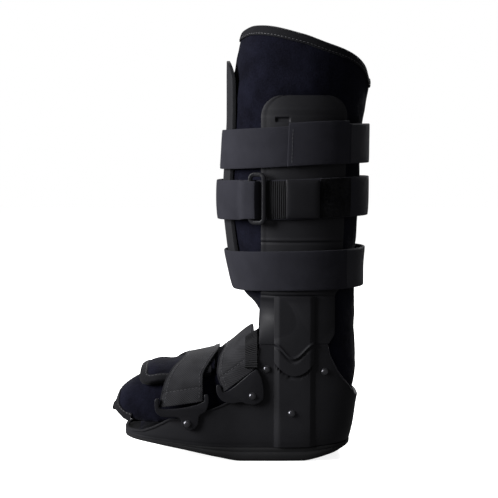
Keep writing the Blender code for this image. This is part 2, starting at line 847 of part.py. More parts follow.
def build_front_panel(folder, finish):
    """Thin curved shin plate with round top corners, whose top stands away from the liner."""
    straight = PANEL_TOP - PANEL_CORNER
    heights = leg_levels(PANEL_FOOT, straight)
    heights += [straight + PANEL_CORNER * math.sin(math.radians(a)) for a in (25, 45, 65, 90)]
    rows = len(heights) - 1

    def face(offset):
        def surface(across, along):
            z = heights[round(along * rows)]
            over = max(0.0, z - (PANEL_TOP - PANEL_CORNER))
            tuck = PANEL_CORNER - math.sqrt(max(0.0, PANEL_CORNER ** 2 - over ** 2))
            half = PANEL_WIDTH / 2 - min(tuck, PANEL_CORNER * PANEL_CORNER_SHARE)
            side = leg_section(z)[2] + offset
            widest = math.asin((half / side) ** (LEG_POWER / 2))
            point = leg_point(lerp(-widest, widest, across), z, offset)
            point.x -= PANEL_FLARE * max(0.0, (z - PANEL_TOP) / PANEL_FLARE_RUN + 1.0) ** 2
            return point
        return surface

    return sheet_solid(face(FIT), face(FIT + PANEL_WALL), PANEL_GRID, rows, "front_panel", folder, finish)


def strap_surface(height, rise, low, high, offset_at):
    """Surface of a leg strap between two shares of its width, at an offset that may change round it."""
    def surface(across, along):
        angle = 2.0 * math.pi * across
        level = leg_point(angle, height, 0.0)
        share = (level.x - CALF_FRONT) / CALF_DEPTH
        offset, spread = offset_at(angle, level.x)
        z = height + rise * share + LEG_STRAP_WIDTH * (lerp(low, high, along) + spread * along)
        return leg_point(angle, z, offset)
    return surface


def build_leg_strap(name, height, rise, build_up, folder, finish):
    """A whole loop of webbing round the leg, outside the uprights and the front panel."""
    def under(angle, x):
        return STRAP_OFFSET, build_up(angle, x)[1]

    def over(angle, x):
        return STRAP_OFFSET + STRAP_WALL * build_up(angle, x)[0], build_up(angle, x)[1]

    inner = strap_surface(height, rise, -0.5, 0.5, under)
    outer = strap_surface(height, rise, -0.5, 0.5, over)
    return sheet_solid(inner, outer, STRAP_POINTS, STRAP_ROWS, name, folder, finish, loop=True)


def plain(angle, x):
    return 1.0, 0.0


def overlapped(angle, x):
    """The upper strap's near side behind the overlap is thicker and a little taller."""
    near = math.radians(OVERLAP_ANGLES[0]) < angle < math.radians(OVERLAP_ANGLES[1])
    if near and x > OVERLAP_FRONT:
        return OVERLAP_LAYERS, UPPER_STRAP_STEP / LEG_STRAP_WIDTH
    return plain(angle, x)


def folded(angle, x):
    """The middle strap is double at the front, where it comes back from the buckle."""
    before_buckle = x < BUCKLE_FRONT - FIT and angle < math.pi
    return (FOLD_LAYERS, 0.0) if before_buckle or x < CALF_FRONT else plain(angle, x)


def build_buckle(folder, finish):
    """Rectangular wire ring with round corners, lying on the middle strap's near side."""
    radius = BUCKLE_BAR / 2
    left = BUCKLE_FRONT + radius
    right = BUCKLE_FRONT + BUCKLE_LENGTH - radius
    low = MIDDLE_STRAP_HEIGHT - BUCKLE_HEIGHT / 2 + radius
    high = MIDDLE_STRAP_HEIGHT + BUCKLE_HEIGHT / 2 + radius
    corner = BUCKLE_BAR
    path = arc(right - corner, high - corner, corner, 0, 90, 3)
    path += arc(left + corner, high - corner, corner, 90, 180, 3)
    path += arc(left + corner, low + corner, corner, 180, 270, 3)
    path += arc(right - corner, low + corner, corner, 270, 360, 3)
    curve = bpy.data.curves.new("buckle_ring", "CURVE")
    curve.dimensions = "3D"
    curve.bevel_depth = radius
    curve.bevel_resolution = 2
    spline = curve.splines.new("POLY")
    spline.points.add(len(path) - 1)
    spline.use_cyclic_u = True
    for point, (x, z) in zip(spline.points, path):
        reach = leg_side(left, MIDDLE_STRAP_HEIGHT, STRAP_OFFSET + STRAP_WALL + FIT + radius)
        slope = leg_side(right, MIDDLE_STRAP_HEIGHT, STRAP_OFFSET + STRAP_WALL + FIT + radius) - reach
        y = -(reach + slope * (x - left) / (right - left) + BUCKLE_EASE)
        point.co = (x, y, z, 1.0)
    curve.materials.append(finish)
    ring = bpy.data.objects.new("buckle_ring", curve)
    folder.objects.link(ring)
    return ring


def build_keeper(folder, finish):
    """Smooth plate on the middle strap."""
    def face(lift):
        def surface(across, along):
            x = KEEPER_FRONT + KEEPER_LENGTH * across
            z = MIDDLE_STRAP_HEIGHT + MIDDLE_STRAP_RISE / 2 + KEEPER_HEIGHT * (along - 0.5)
            return Vector((x, -leg_side(x, z, STRAP_OFFSET + STRAP_WALL + FIT + lift), z))
        return surface

    return sheet_solid(face(0.0), face(KEEPER_WALL), KEEPER_GRID, 1, "strap_keeper", folder, finish)


def foot_strap_surface(edges, foot, lift, lifts):
    """Surface of a foot strap from its near end over the foot to its far end."""
    rises = column(edges, EDGE_COLUMNS, "rise")
    fronts = column(edges, EDGE_COLUMNS, "front")
    backs = column(edges, EDGE_COLUMNS, "back")

    def surface(across, along):
        start_x = SOLE_LENGTH * lerp(fronts[0], backs[0], along)
        start_z = SHELL_TOP * lerp(foot[0], foot[1], along)
        low = foot_angle(start_x, start_z, lifts[0] + lift)
        angle = lerp(low, math.pi - low, across)
        rise = (math.sin(angle) - math.sin(low)) / (1.0 - math.sin(low))
        x = SOLE_LENGTH * lerp(smooth(rise, rises, fronts), smooth(rise, rises, backs), along)
        offset = lerp(lifts[0], lifts[1], math.sin(angle) ** 2) + lift
        point = foot_point(x, angle, offset)
        if across in (0.0, 1.0):
            point.z = start_z
        return point
    return surface


def build_foot_strap(name, edges, foot, lifts, folder, finish):
    inner = foot_strap_surface(edges, foot, 0.0, lifts)
    outer = foot_strap_surface(edges, foot, STRAP_WALL, lifts)
    return sheet_solid(inner, outer, *FOOT_STRAP_GRID, name, folder, finish)


def build_strap_tab(folder, finish):
    """Dark strap tail that lies on the instep behind the rear foot strap, on the near side."""
    def face(offset):
        def surface(across, along):
            x = lerp(TAB_FRONT, TAB_BACK, along)
            low = foot_angle(x, SHELL_TOP * TAB_FOOT, offset)
            return foot_point(x, lerp(low, math.radians(TAB_TOP_ANGLE), across), offset)
        return surface

    return sheet_solid(face(FIT), face(FIT + STRAP_WALL), *TAB_GRID, "strap_tab", folder, finish)


def bracket_outline(rows, edges, foot):
    """Side outline of a bracket, whose top edge follows the lower end of its strap."""
    points = side_outline(rows)
    back = (SOLE_LENGTH * edges[0][2] + GAP, SHELL_TOP * foot[1] - GAP)
    front = (SOLE_LENGTH * edges[0][1] - GAP, SHELL_TOP * foot[0] - GAP)
    return points[:-2] + [back, front] + points[-2:]


def build_bracket(name, outline, side, folder, finish):
    """Flat hooked plate outside the shell's wall."""
    widest = max(shell_side(x) for x, z in outline) + GAP
    return prism(outline, side * widest, side * (widest + BRACKET_WALL), name, folder, finish)


def build_rivet(name, seat, normal, folder, finish):
    """Domed rivet head on a wall, its axis along the wall's normal."""
    rings = []
    for angle in (0, 40, 70):
        radius = RIVET_RADIUS * math.cos(math.radians(angle))
        rise = RIVET_RISE * math.sin(math.radians(angle))
        circle = [turn(i, RIVET_POINTS) for i in range(RIVET_POINTS)]
        rings.append([Vector((radius * math.cos(a), radius * math.sin(a), rise)) for a in circle])
    turned = normal.to_track_quat("Z", "Y").to_matrix().to_4x4()
    place = Matrix.Translation(seat + normal * FIT) @ turned
    return loft([[place @ point for point in ring] for ring in rings], name, folder, finish)


def wall_seat(x, z, side, lift):
    """Place and outward direction on the shell's wall."""
    height = (z - rocker(x, "top")) / (SHELL_TOP + SHELL_MARGIN - rocker(x, "top"))
    step = RIVET_RADIUS / 2
    ahead = shell_side(x + step, height=height)
    behind = shell_side(x - step, height=height)
    normal = Vector((-(ahead - behind) / (2 * step), side, 0.0)).normalized()
    return Vector((x, side * (shell_side(x, height=height) + lift), z)), normal


def build_flap(name, angles, lifts, front, folder, finish):
    """A toe flap: a curved padded sheet over the toes, between two angles round the foot."""
    def face(sink):
        def surface(across, along):
            angle = math.radians(lerp(angles[0], angles[1], across))
            x = lerp(FOOT_START - FIT, front(across), along)
            offset = lerp(lifts[0], lifts[1], min(1.0, across / FLAP_RUN))
            return foot_point(x, angle, offset - sink)
        return surface

    return sheet_solid(face(FLAP_WALL), face(0.0), *FLAP_GRID, name, folder, finish)


def lower_front(across):
    """Front edge of the lower flap, which draws back at its foot on the near side."""
    return lerp(LOWER_FLAP_FOOT, LOWER_FLAP_TIP, min(1.0, across / FLAP_FOOT_RUN) ** FLAP_FOOT_POWER)


def upper_front(across):
    """Front edge of the upper flap, straight across the toes."""
    return UPPER_FLAP_TIP


def main():
    clear_scene()
    parts = collection(PARTS_NAME)
    cutters = collection("cutters")
    shell_plastic = material("shell_plastic", (0.014, 0.014, 0.017), 0.42)
    rubber = material("sole_rubber", (0.010, 0.010, 0.011), 0.75)
    liner_fabric = material("liner_fabric", (0.008, 0.009, 0.022), 0.95)
    strap_web = material("strap_web", (0.020, 0.020, 0.026), 0.80)
    foot_web = material("foot_strap_web", (0.055, 0.055, 0.060), 0.80)
    rough_loop = material("rough_loop", (0.008, 0.008, 0.009), 0.98)
    rivet_metal = material("rivet_metal", (0.22, 0.22, 0.24), 0.28, 1.0)
    buckle_plastic = material("buckle_plastic", (0.022, 0.022, 0.026), 0.35)

    build_outsole(parts, rubber)
    build_shell(parts, cutters, shell_plastic)
    build_liner(parts, cutters, liner_fabric)
    build_front_panel(parts, shell_plastic)
    build_leg_strap("strap_upper", UPPER_STRAP_HEIGHT, UPPER_STRAP_RISE, overlapped, parts, strap_web)
    build_leg_strap("strap_middle", MIDDLE_STRAP_HEIGHT, MIDDLE_STRAP_RISE, folded, parts, strap_web)
    build_leg_strap("strap_lower", LOWER_STRAP_HEIGHT, LOWER_STRAP_RISE, plain, parts, strap_web)
    build_buckle(parts, buckle_plastic)
    build_keeper(parts, buckle_plastic)
    build_foot_strap("foot_strap_front", FRONT_STRAP_EDGES, FRONT_STRAP_FOOT, FRONT_STRAP_LIFTS, parts, foot_web)
    build_foot_strap("foot_strap_rear", REAR_STRAP_EDGES, REAR_STRAP_FOOT, REAR_STRAP_LIFTS, parts, foot_web)
    build_strap_tab(parts, rough_loop)
    build_flap("toe_flap_lower", (0, 112), (0.0, 0.0), lower_front, parts, liner_fabric)
    build_flap("toe_flap_upper", (180, 42), (0.0, FLAP_WALL + FIT), upper_front, parts, liner_fabric)

    outlines = {
        "front": bracket_outline(FRONT_BRACKET_ROWS, FRONT_STRAP_EDGES, FRONT_STRAP_FOOT),
        "rear": bracket_outline(REAR_BRACKET_ROWS, REAR_STRAP_EDGES, REAR_STRAP_FOOT),
    }
    for label, side in (("near", NEAR), ("far", FAR)):
        build_upright("upright_" + label, side, parts, cutters, shell_plastic)
        for which, outline in outlines.items():
            build_bracket("bracket_" + which + "_" + label, outline, side, parts, buckle_plastic)
        for row in RIVET_ROWS:
            rivet, place, height, carrier = (row[RIVET_COLUMNS.index(name)] for name in RIVET_COLUMNS)
            x = SOLE_LENGTH * place
            z = SHELL_TOP * height
            seat, normal = wall_seat(x, z, side, CHANNEL_RISE if carrier == "channel" else 0.0)
            if carrier in outlines:
                widest = max(shell_side(px) for px, pz in outlines[carrier])
                seat = Vector((x, side * (widest + GAP + BRACKET_WALL), z))
                normal = Vector((0.0, side, 0.0))
            build_rivet("rivet_" + rivet + "_" + label, seat, normal, parts, rivet_metal)


main()
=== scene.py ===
"""Looks of the walking boot: every piece again as a fine mesh with its finish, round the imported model.

The sizes and tables repeat the solid model's, in metres: toe at -X, near side at -Y, ground at Z 0.
"""
import bisect
import functools
import json
import math

import bmesh
import bpy
from mathutils import Matrix, Vector, noise
from mathutils.bvhtree import BVHTree

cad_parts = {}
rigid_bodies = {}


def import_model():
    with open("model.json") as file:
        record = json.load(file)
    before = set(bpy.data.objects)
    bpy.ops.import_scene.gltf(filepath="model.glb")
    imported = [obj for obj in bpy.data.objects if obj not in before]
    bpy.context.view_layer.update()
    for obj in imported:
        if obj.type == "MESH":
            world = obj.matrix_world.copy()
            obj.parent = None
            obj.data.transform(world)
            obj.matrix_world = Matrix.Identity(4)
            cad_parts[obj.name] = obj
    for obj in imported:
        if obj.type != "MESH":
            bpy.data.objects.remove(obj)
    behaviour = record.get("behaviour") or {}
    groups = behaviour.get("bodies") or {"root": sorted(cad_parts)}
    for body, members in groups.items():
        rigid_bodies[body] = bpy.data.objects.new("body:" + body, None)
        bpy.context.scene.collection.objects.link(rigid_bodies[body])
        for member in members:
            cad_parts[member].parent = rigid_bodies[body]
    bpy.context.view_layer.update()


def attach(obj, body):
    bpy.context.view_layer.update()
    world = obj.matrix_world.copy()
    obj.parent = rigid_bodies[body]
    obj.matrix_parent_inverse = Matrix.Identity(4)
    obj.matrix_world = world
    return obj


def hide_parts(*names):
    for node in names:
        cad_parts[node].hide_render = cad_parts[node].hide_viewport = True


RUN_MAP = "Run"

# Overall sizes
BOOT_HEIGHT = 0.440
SOLE_LENGTH = 0.2427
SHELL_WIDTH = 0.105
SHELL_TOP = 0.121
SOLE_HEIGHT = 0.015
CALF_WIDTH = 0.120
CALF_DEPTH = 0.148
CALF_OVERHANG = 0.012
ANKLE_DEPTH = 0.1023
INSTEP_SHARE = 0.1536
INSTEP_TOP = SHELL_TOP + INSTEP_SHARE * (BOOT_HEIGHT - SHELL_TOP)

# Walls
SHELL_WALL = 0.003
FLOOR_WALL = 0.003
LINER_WALL = 0.008
UPRIGHT_WALL = 0.0035
PANEL_WALL = 0.003
STRAP_WALL = 0.0028
FLAP_WALL = 0.006
BRACKET_WALL = 0.003

# Fits
GAP = 0.0003
FIT = 0.0006
HEEL_CLEARANCE = 0.001
LINER_EASE = 0.001
STRAP_OFFSET = FIT + UPRIGHT_WALL + FIT

# Rigid shell
HEEL_RAKE = 0.009
TOE_POWER = 3.0
HEEL_POWER = 4.0
CHANNEL_RISE = 0.0022
CHANNEL_BEVEL = 0.005
CHANNEL_FRONT = 0.0335
CHANNEL_WIDTH = 0.0415
EAR_FRONT = 0.018
EAR_LENGTH = 0.071
SHELL_MARGIN = 0.012
CHANNEL_SHADOW = 0.0015
CHANNEL_EDGE = 0.35
BLOCK_EDGE = 0.10

# Uprights, whose struts run up to the instep's top
STRUT_TOP = INSTEP_TOP
CUFF_TOP = 0.371
CUFF_LENGTH = 0.087
CUFF_CORNER = 0.021
STRUT_LENGTH = 0.077
STRUT_FLARE_LOW = 0.012
STRUT_FLARE_HIGH = 0.010
TONGUE_DROP = 0.032
TONGUE_CURVE = 0.014
TONGUE_WALL = 0.003
CUFF_STEP = 0.002

# Straps round the leg: width, height of the middle of the front, and rise towards the heel
LEG_STRAP_WIDTH = 0.040
LOWER_STRAP_LIFT = 0.024
LOWER_STRAP_HEIGHT = INSTEP_TOP + LOWER_STRAP_LIFT
STRAP_SPACING = 0.0325
STRAP_CLEARANCE = 0.011
MIDDLE_STRAP_HEIGHT = LOWER_STRAP_HEIGHT + LEG_STRAP_WIDTH + STRAP_SPACING
UPPER_STRAP_HEIGHT = MIDDLE_STRAP_HEIGHT + LEG_STRAP_WIDTH + STRAP_CLEARANCE
UPPER_STRAP_RISE = 0.007
MIDDLE_STRAP_RISE = 0.004
LOWER_STRAP_RISE = 0.004
UPPER_STRAP_STEP = 0.003
OVERLAP_FRONT = 0.047

# Liner
FOOT_START = -0.030
LEAN_STEPS = 6

# Toe flaps
LOWER_FLAP_FOOT = -0.114
LOWER_FLAP_TIP = -0.1327
UPPER_FLAP_TIP = -0.103
FLAP_RUN = 0.40
LOWER_FLAP_ANGLES = (-2.5, 112.0)
UPPER_FLAP_ANGLES = (180.0, 42.0)

# Foot straps: height of the two corners of the lower end as shares of SHELL_TOP, and how far the strap
# stands off the liner's foot at its ends and at its top
FRONT_STRAP_FOOT = (0.471, 0.525)
FRONT_STRAP_LIFTS = (0.0078, 0.0070)
REAR_STRAP_FOOT = (0.603, 0.793)
REAR_STRAP_LIFTS = (0.0080, 0.0030)
TAB_FRONT = 0.004
TAB_BACK = 0.0165
TAB_FOOT = 0.80
TAB_TOP_ANGLE = 60.0

# Small parts
BUCKLE_FRONT = 0.007
BUCKLE_LENGTH = 0.018
BUCKLE_HEIGHT = 0.048
BUCKLE_EASE = 0.0006
KEEPER_FRONT = 0.045
KEEPER_HEIGHT = 0.0385
BUCKLE_BAR = 0.0045
KEEPER_LENGTH = 0.033
KEEPER_WALL = 0.002
RIVET_RADIUS = 0.0032
RIVET_RISE = 0.0019
PANEL_WIDTH = 0.058
PANEL_LIFT = 0.010
PANEL_TOP = 0.408
PANEL_FOOT = INSTEP_TOP + PANEL_LIFT
PANEL_CORNER = 0.024
PANEL_CORNER_SHARE = 0.8
PANEL_FLARE = 0.0055
PANEL_FLARE_RUN = 0.070

# Roundness of the sections of the liner's leg and foot
LEG_POWER = 2.2
FOOT_POWER = 2.5

NEAR = -1
FAR = 1

# Fine counts
SOLE_COLUMNS = 110
SHELL_COLUMNS = 210
SHELL_ROWS = 44
UPRIGHT_ROWS = 230
UPRIGHT_COLUMNS = 56
CORNER_ROWS = 12
CHANNEL_COLUMNS = 44
CHANNEL_ROWS = 90
PANEL_ROWS = 60
PANEL_COLUMNS = 32
LOOP_SAMPLES = 720
STRAP_ROWS_FINE = 18
STRAP_CELL = 0.0022
TOP_EDGE_STEPS = 240
FLAP_EDGE_STEPS = 70
FLAP_SIDE_STEPS = 24
BUCKLE_CORNER_STEPS = 8
BUCKLE_SIDES = 16
BRACKET_STEPS = 5
RIVET_SIDES = 32
CLOTH_FRAMES = 20
CLOTH = {"use_pressure": True, "quality": 5, "mass": 0.3, "tension_stiffness": 12.0,
         "compression_stiffness": 12.0, "bending_stiffness": 0.6}

# Edges and relief of the hard pieces
SOLE_PROFILE = ((0.0, 0.0046), (0.03, 0.0028), (0.10, 0.0014), (0.22, 0.0006), (0.40, 0.0002), (0.58, 0.0),
                (0.64, 0.0005), (0.70, 0.0005), (0.76, 0.0), (0.95, 0.0), (1.0, 0.0005))
SHELL_ROW_POWER = 1.15
SHELL_RELIEF_REACH = 0.93
SHELL_EDGE_STEP = 0.0008
SHELL_ROUND = 0.0007
RIM_STEP = 0.0006
RIM_ROWS = 6
RIM_LIP = 0.0009
RIM_LIP_WIDTH = 0.0024
RIM_LIP_EASE = 0.0009
SHELL_LINE_DEPTH = 0.0002
SHELL_LINE_LIFT = 0.0022
SHELL_LINE_WIDTH = 0.0007
RIM_BLUR = (-0.0012, -0.0006, 0.0, 0.0006, 0.0012)
UPRIGHT_ROUND = 0.0009
UPRIGHT_LINES = (0.352, 0.2505, 0.2245, 0.170)
UPRIGHT_LINE_WIDTH = 0.0010
UPRIGHT_LINE_DEPTH = 0.0010
UPRIGHT_BEAD_LIFT = 0.0026
UPRIGHT_BEAD_WIDTH = 0.0013
UPRIGHT_BEAD_RISE = 0.0006
SLOT_PLACE = (0.0415, 0.3470)
SLOT_HALF = (0.0068, 0.0020)
SLOT_EASE = 0.0014
SLOT_DEPTH = 0.0024
CUFF_BORDER = 0.0035
CUFF_BORDER_EASE = 0.0012
CUFF_BORDER_DEPTH = 0.0004
WAVE_TOP = 0.0008
WAVE_DROP = 0.0150
WAVE_MIDDLE = 0.47
WAVE_RISE = 0.0011
WAVE_WIDTH = 0.0013
WAVE_DIP = 0.0012
WAVE_DIP_LIFT = -0.0030
WAVE_DIP_WIDTH = 0.0017
PANEL_ROUND = 0.0009
BRACKET_ROUND = 0.0010
RIVET_PROFILE = ((1.12, 0.0), (1.12, 0.10), (1.06, 0.14), (1.0, 0.16), (0.97, 0.34), (0.88, 0.60),
                 (0.72, 0.82), (0.50, 0.95), (0.26, 1.0), (0.04, 1.0))

# Straps and sewing
STRAP_CROWN = 0.0003
STRAP_WANDER = 0.0012
STRAP_ROUND = 0.0007
LAP_WALL = 0.0022
FOLD_END = 34.0
FOLD_REACH = 0.0120
FOLD_CLIMB = 0.012
FOLD_TOP = 0.0125
FOLD_NOSE = 0.0035
FOLD_OVER = 0.0050
FOLD_NARROW = 0.03
FOLD_START_RUN = 0.012
TUCK = 0.8
TUCK_RUN = 0.02
LAP_END = 131.0
PATCH_START = LAP_END + 2.0
PATCH_END = 160.0
TAPE_SINK = 0.0004
TAPE_WALL = 0.0010
RIBBED_WALL = 0.0009
ROUGH_END = 134.0
STITCH = 0.0026
STITCH_GAP = 0.0012
STITCH_THICK = 0.00028
STITCH_RISE = 0.00012
STITCH_PROFILE = ((0.0, 0.3), (0.2, 0.9), (0.5, 1.0), (0.8, 0.9), (1.0, 0.3))
STITCH_SIDES = 6
STITCH_PLACE = 0.40
BUCKLE_SQUARE = 0.6
BUCKLE_FLAT = 0.8
KEEPER_CROWN = 0.0006
FOOT_STRAP_CROWN = 0.0005
FOOT_STRAP_SEAM_DIP = 0.0008
FOOT_STRAP_RIPPLE = 0.0008
FOOT_SEAM_PLACE = 0.014
PIPING_RADIUS = 0.0015
TAB_RIB = 0.00022
TAB_RIBS = 19
TAB_LENGTH = 0.045
TAB_GRID = (120, 14)
KEEPER_GRID = (26, 30)
KEEPER_EDGE = 0.45
KEEPER_ROUND = 0.0005
FOOT_STRAP_GRID = (110, 26)
FOOT_SEAM_WIDTH = 0.0012

# Liner and flaps
PAD_CLEARANCE = 0.0004
LINER_VOXEL = 0.0043
LINER_PRESSURE = 4.0
LINER_SWELL = 0.003
LINER_RUFFLE = 0.0009
TRIM_WIDTH = 0.008
BINDING_LIFT = 0.0007
BINDING_NOSE = 0.0018
BINDING_WALL = 0.0008
CALF_RADIUS = 0.064
FLAP_RADIUS = 0.045
FLAP_CORNER = 0.013
FLAP_ROUND_RUN = 0.30
FLAP_ROOT = 0.004
FLAP_CURL = 0.0035
FLAP_CURL_START = -0.070
FLAP_CURL_RUN = 0.018
INSTEP_FILL = 0.0058
INSTEP_FILL_PLACE = -0.024
INSTEP_FILL_WIDTH = 0.009
FLAP_GRID = (80, 50)
FLAP_SINK = 0.0006
FLAP_VOXEL = 0.0026
FLAP_PRESSURE = 4.0
FLAP_SWELL = 0.0012
FLAP_RUFFLE = 0.0006
FLAP_TRIM_WIDTH = 0.0064

# Camera, floor and light
CAMERA_PLACE = (0.008, -1.40, 0.317)
CAMERA_PITCH = 4.206
CAMERA_LENS = 97.3
CAMERA_SENSOR = 36.0
FLOOR_HALF = 6.0
FLOOR_GAP = 0.0002
FLOOR_COLOUR = (0.60, 0.60, 0.60)
FLOOR_GLOW = 0.85
ROOM_LIGHT = 0.23
ROOM_SEEN = 1.0
LIGHTS = (
    ("key", (-1.88, -0.66, 0.95), (0.0, 0.0, 0.22), (1.1, 1.2), 165.0),
    ("fill", (0.2, -2.2, 1.3), (0.0, 0.0, 0.2), (1.2, 1.2), 2.0),
    ("rim", (0.7, 1.2, 1.5), (0.0, 0.0, 0.25), (0.8, 0.8), 60.0),
)

# Sole and floor along the foot: place along the sole, underside and top as shares of SOLE_HEIGHT
ROCKER_ROWS = (
    (-0.5, 1.4, 1.667), (-0.424, 1.267, 1.533), (-0.325, 1.033, 1.4), (-0.26, 0.853, 1.3),
    (-0.177, 0.567, 1.15), (-0.099, 0.28, 1.05), (0.0, 0.0, 1.0), (0.26, 0.0, 1.0), (0.31, 0.133, 1.013),
    (0.35, 0.3, 1.06), (0.396, 0.52, 1.12), (0.433, 0.78, 1.18), (0.5, 1.1, 1.32),
)

# Plan of the shell: share of the half width along the sole, before its rounded ends
WAIST_ROWS = (
    (-0.5, 1.0), (-0.2, 1.0), (0.0, 0.955), (0.2, 0.965), (0.5, 0.98),
)

# How the shell's wall grows from its floor: height, width, and how far the heel is raked in
WALL_ROWS = (
    (0.0, 0.955, 1.0), (0.06, 0.985, 0.8), (0.15, 1.0, 0.55), (0.32, 1.0, 0.25), (0.45, 1.0, 0.0),
    (1.0, 1.0, 0.0),
)

# Rim of the shell seen from the side: place along the sole and height as a share of SHELL_TOP
RIM_FRONT_ROWS = (
    (-0.53, 0.248), (-0.412, 0.258), (-0.363, 0.298), (-0.3, 0.366), (-0.198, 0.38), (-0.188, 0.405),
    (-0.07, 0.496), (0.012, 0.579), (0.041, 0.645), (0.066, 0.76),
)
RIM_HEEL_ROWS = (
    (0.367, 0.926), (0.412, 0.752), (0.461, 0.62), (0.486, 0.545), (0.53, 0.52),
)

# Leg of the liner: height, then how far the front, back and side have grown from ankle to calf
HEEL_ROWS = (
    (0.223, -0.25, -1.42, -0.5), (0.281, -0.19, -1.2, -0.286), (0.413, -0.07, -0.8, -0.107),
    (0.545, -0.01, -0.45, -0.071), (0.702, 0.0, 0.0, -0.036), (1.0, 0.0, 0.0, 0.0),
)
LEG_ROWS = (
    (0.078, 0.006, 0.0, 0.107), (0.106, 0.11, 0.0, 0.143), (0.132, 0.288, 0.0, 0.179),
    (INSTEP_SHARE, 0.525, -0.04, 0.25), (0.232, 0.733, -0.083, 0.429), (0.317, 0.881, 0.083, 0.607),
    (0.461, 1.0, 0.33, 0.786), (0.624, 0.926, 0.36, 0.857), (0.706, 0.881, 0.4, 0.91),
    (0.748, 0.865, 0.8, 0.94), (0.834, 0.8, 1.0, 1.0), (0.928, 0.66, 0.917, 1.0),
    (1.0, 0.48, 0.64, 0.954),
)

# Top edge of the liner seen from the side: share of the calf's depth from front to back, and height
TOP_ROWS = (
    (0.08, 0.988), (0.19, 1.0), (0.52, 0.978), (0.66, 0.962), (0.86, 0.938), (0.95, 0.914),
    (0.985, 0.885),
)

# Foot of the liner: place along the sole, half width, height of its widest level, and top
FOOT_ROWS = (
    (-0.545, 0.15, 0.38, 0.44), (-0.525, 0.25, 0.362, 0.54), (-0.49, 0.31, 0.355, 0.61),
    (-0.42, 0.375, 0.347, 0.69), (-0.33, 0.41, 0.355, 0.752), (-0.235, 0.433, 0.372, 0.789),
    (-0.124, 0.429, 0.43, 0.835), (-0.066, 0.419, 0.479, 0.897), (0.049, 0.41, 0.529, 1.07),
    (0.124, 0.41, 0.579, 1.124), (0.247, 0.41, 0.579, 1.074), (0.35, 0.362, 0.496, 0.909),
)

# Edges of the foot straps: share of the rise over the foot, and place along the sole
FRONT_STRAP_EDGES = (
    (0.0, -0.338, -0.158), (0.5, -0.316, -0.16), (0.8, -0.284, -0.13), (1.0, -0.235, -0.092),
)
REAR_STRAP_EDGES = (
    (0.0, -0.07, 0.058), (0.5, -0.096, 0.056), (0.8, -0.09, 0.054), (1.0, -0.066, 0.05),
)

# Rivets on each side: place along the sole and height as a share of SHELL_TOP
RIVET_ROWS = (
    ("ear_front", 0.106, 0.793, "shell"), ("ear_back", 0.348, 0.769, "shell"),
    ("bracket_rear", 0.046, 0.57, "rear"), ("channel", 0.21, 0.421, "channel"),
    ("bracket_front", -0.226, 0.338, "front"),
)

# Side outlines of the strap brackets: place along the sole and height as a share of SHELL_TOP
FRONT_BRACKET_ROWS = (
    (-0.3605, 0.479), (-0.354, 0.43), (-0.33, 0.393), (-0.2555, 0.38), (-0.245, 0.314), (-0.2266, 0.2835),
    (-0.202, 0.2835), (-0.179, 0.3306), (-0.173, 0.401), (-0.148, 0.438), (-0.136, 0.496),
    (-0.137, 0.5785), (-0.1537, 0.5785), (-0.3415, 0.545), (-0.357, 0.545),
)
REAR_BRACKET_ROWS = (
    (-0.101, 0.595), (-0.078, 0.529), (-0.037, 0.504), (0.004, 0.516), (0.025, 0.5), (0.058, 0.496),
    (0.091, 0.537), (0.095, 0.628), (0.085, 0.727), (0.068, 0.789), (-0.0857, 0.657), (-0.101, 0.661),
)


class Table:
    """Smooth curves, without overshoot, through the named columns of a table."""

    def __init__(self, rows, columns):
        self.columns = {name: [row[i] for row in rows] for i, name in enumerate(columns)}
        self.places = self.columns[columns[0]]
        self.tangents = {name: self.slopes(self.columns[name]) for name in columns[1:]}

    def slopes(self, values):
        places = self.places
        steps = [(values[i + 1] - values[i]) / (places[i + 1] - places[i]) for i in range(len(places) - 1)]
        inner = []
        for before, after in zip(steps, steps[1:]):
            level = before * after <= 0.0
            inner.append(0.0 if level else 2.0 * before * after / (before + after))
        return [steps[0]] + inner + [steps[-1]]

    def at(self, place, name):
        """Value of a column at one place."""
        places, values = self.places, self.columns[name]
        if place <= places[0]:
            return values[0]
        if place >= places[-1]:
            return values[-1]
        i = bisect.bisect_right(places, place) - 1
        tangents = self.tangents[name]
        width = places[i + 1] - places[i]
        t = (place - places[i]) / width
        start = (1 + 2 * t) * (1 - t) ** 2 * values[i] + t * (1 - t) ** 2 * width * tangents[i]
        end = t * t * (3 - 2 * t) * values[i + 1] + t * t * (t - 1) * width * tangents[i + 1]
        return start + end


def lerp(start, end, share):
    return start + (end - start) * share


def clamp(value, low=0.0, high=1.0):
    return max(low, min(high, value))


def ease(value):
    """Smooth step from 0 to 1."""
    value = clamp(value)
    return value * value * (3.0 - 2.0 * value)


def hump(value, centre, width):
    """A soft ridge of height 1 round a centre."""
    return math.exp(-((value - centre) / width) ** 2)


def turn(share):
    return 2.0 * math.pi * share


def signed_power(value, power):
    return math.copysign(abs(value) ** power, value)


ROCKER = Table(ROCKER_ROWS, ("place", "underside", "top"))
WAIST = Table(WAIST_ROWS, ("place", "width"))
WALL = Table(WALL_ROWS, ("height", "width", "rake"))
TOP = Table(TOP_ROWS, ("depth", "height"))
FOOT = Table(FOOT_ROWS, ("place", "side", "base", "top"))


def rocker(x, name):
    """Height of the sole's underside or top at a place along the foot."""
    return SOLE_HEIGHT * ROCKER.at(x / SOLE_LENGTH, name)


@functools.lru_cache(maxsize=None)
def plan_ends(height, inset):
    """Middle and half length of the shell's plan at a share of its height."""
    rake = HEEL_RAKE * WALL.at(height, "rake")
    front = -SOLE_LENGTH / 2 + inset
    back = SOLE_LENGTH / 2 - rake - inset
    return (front + back) / 2, (back - front) / 2


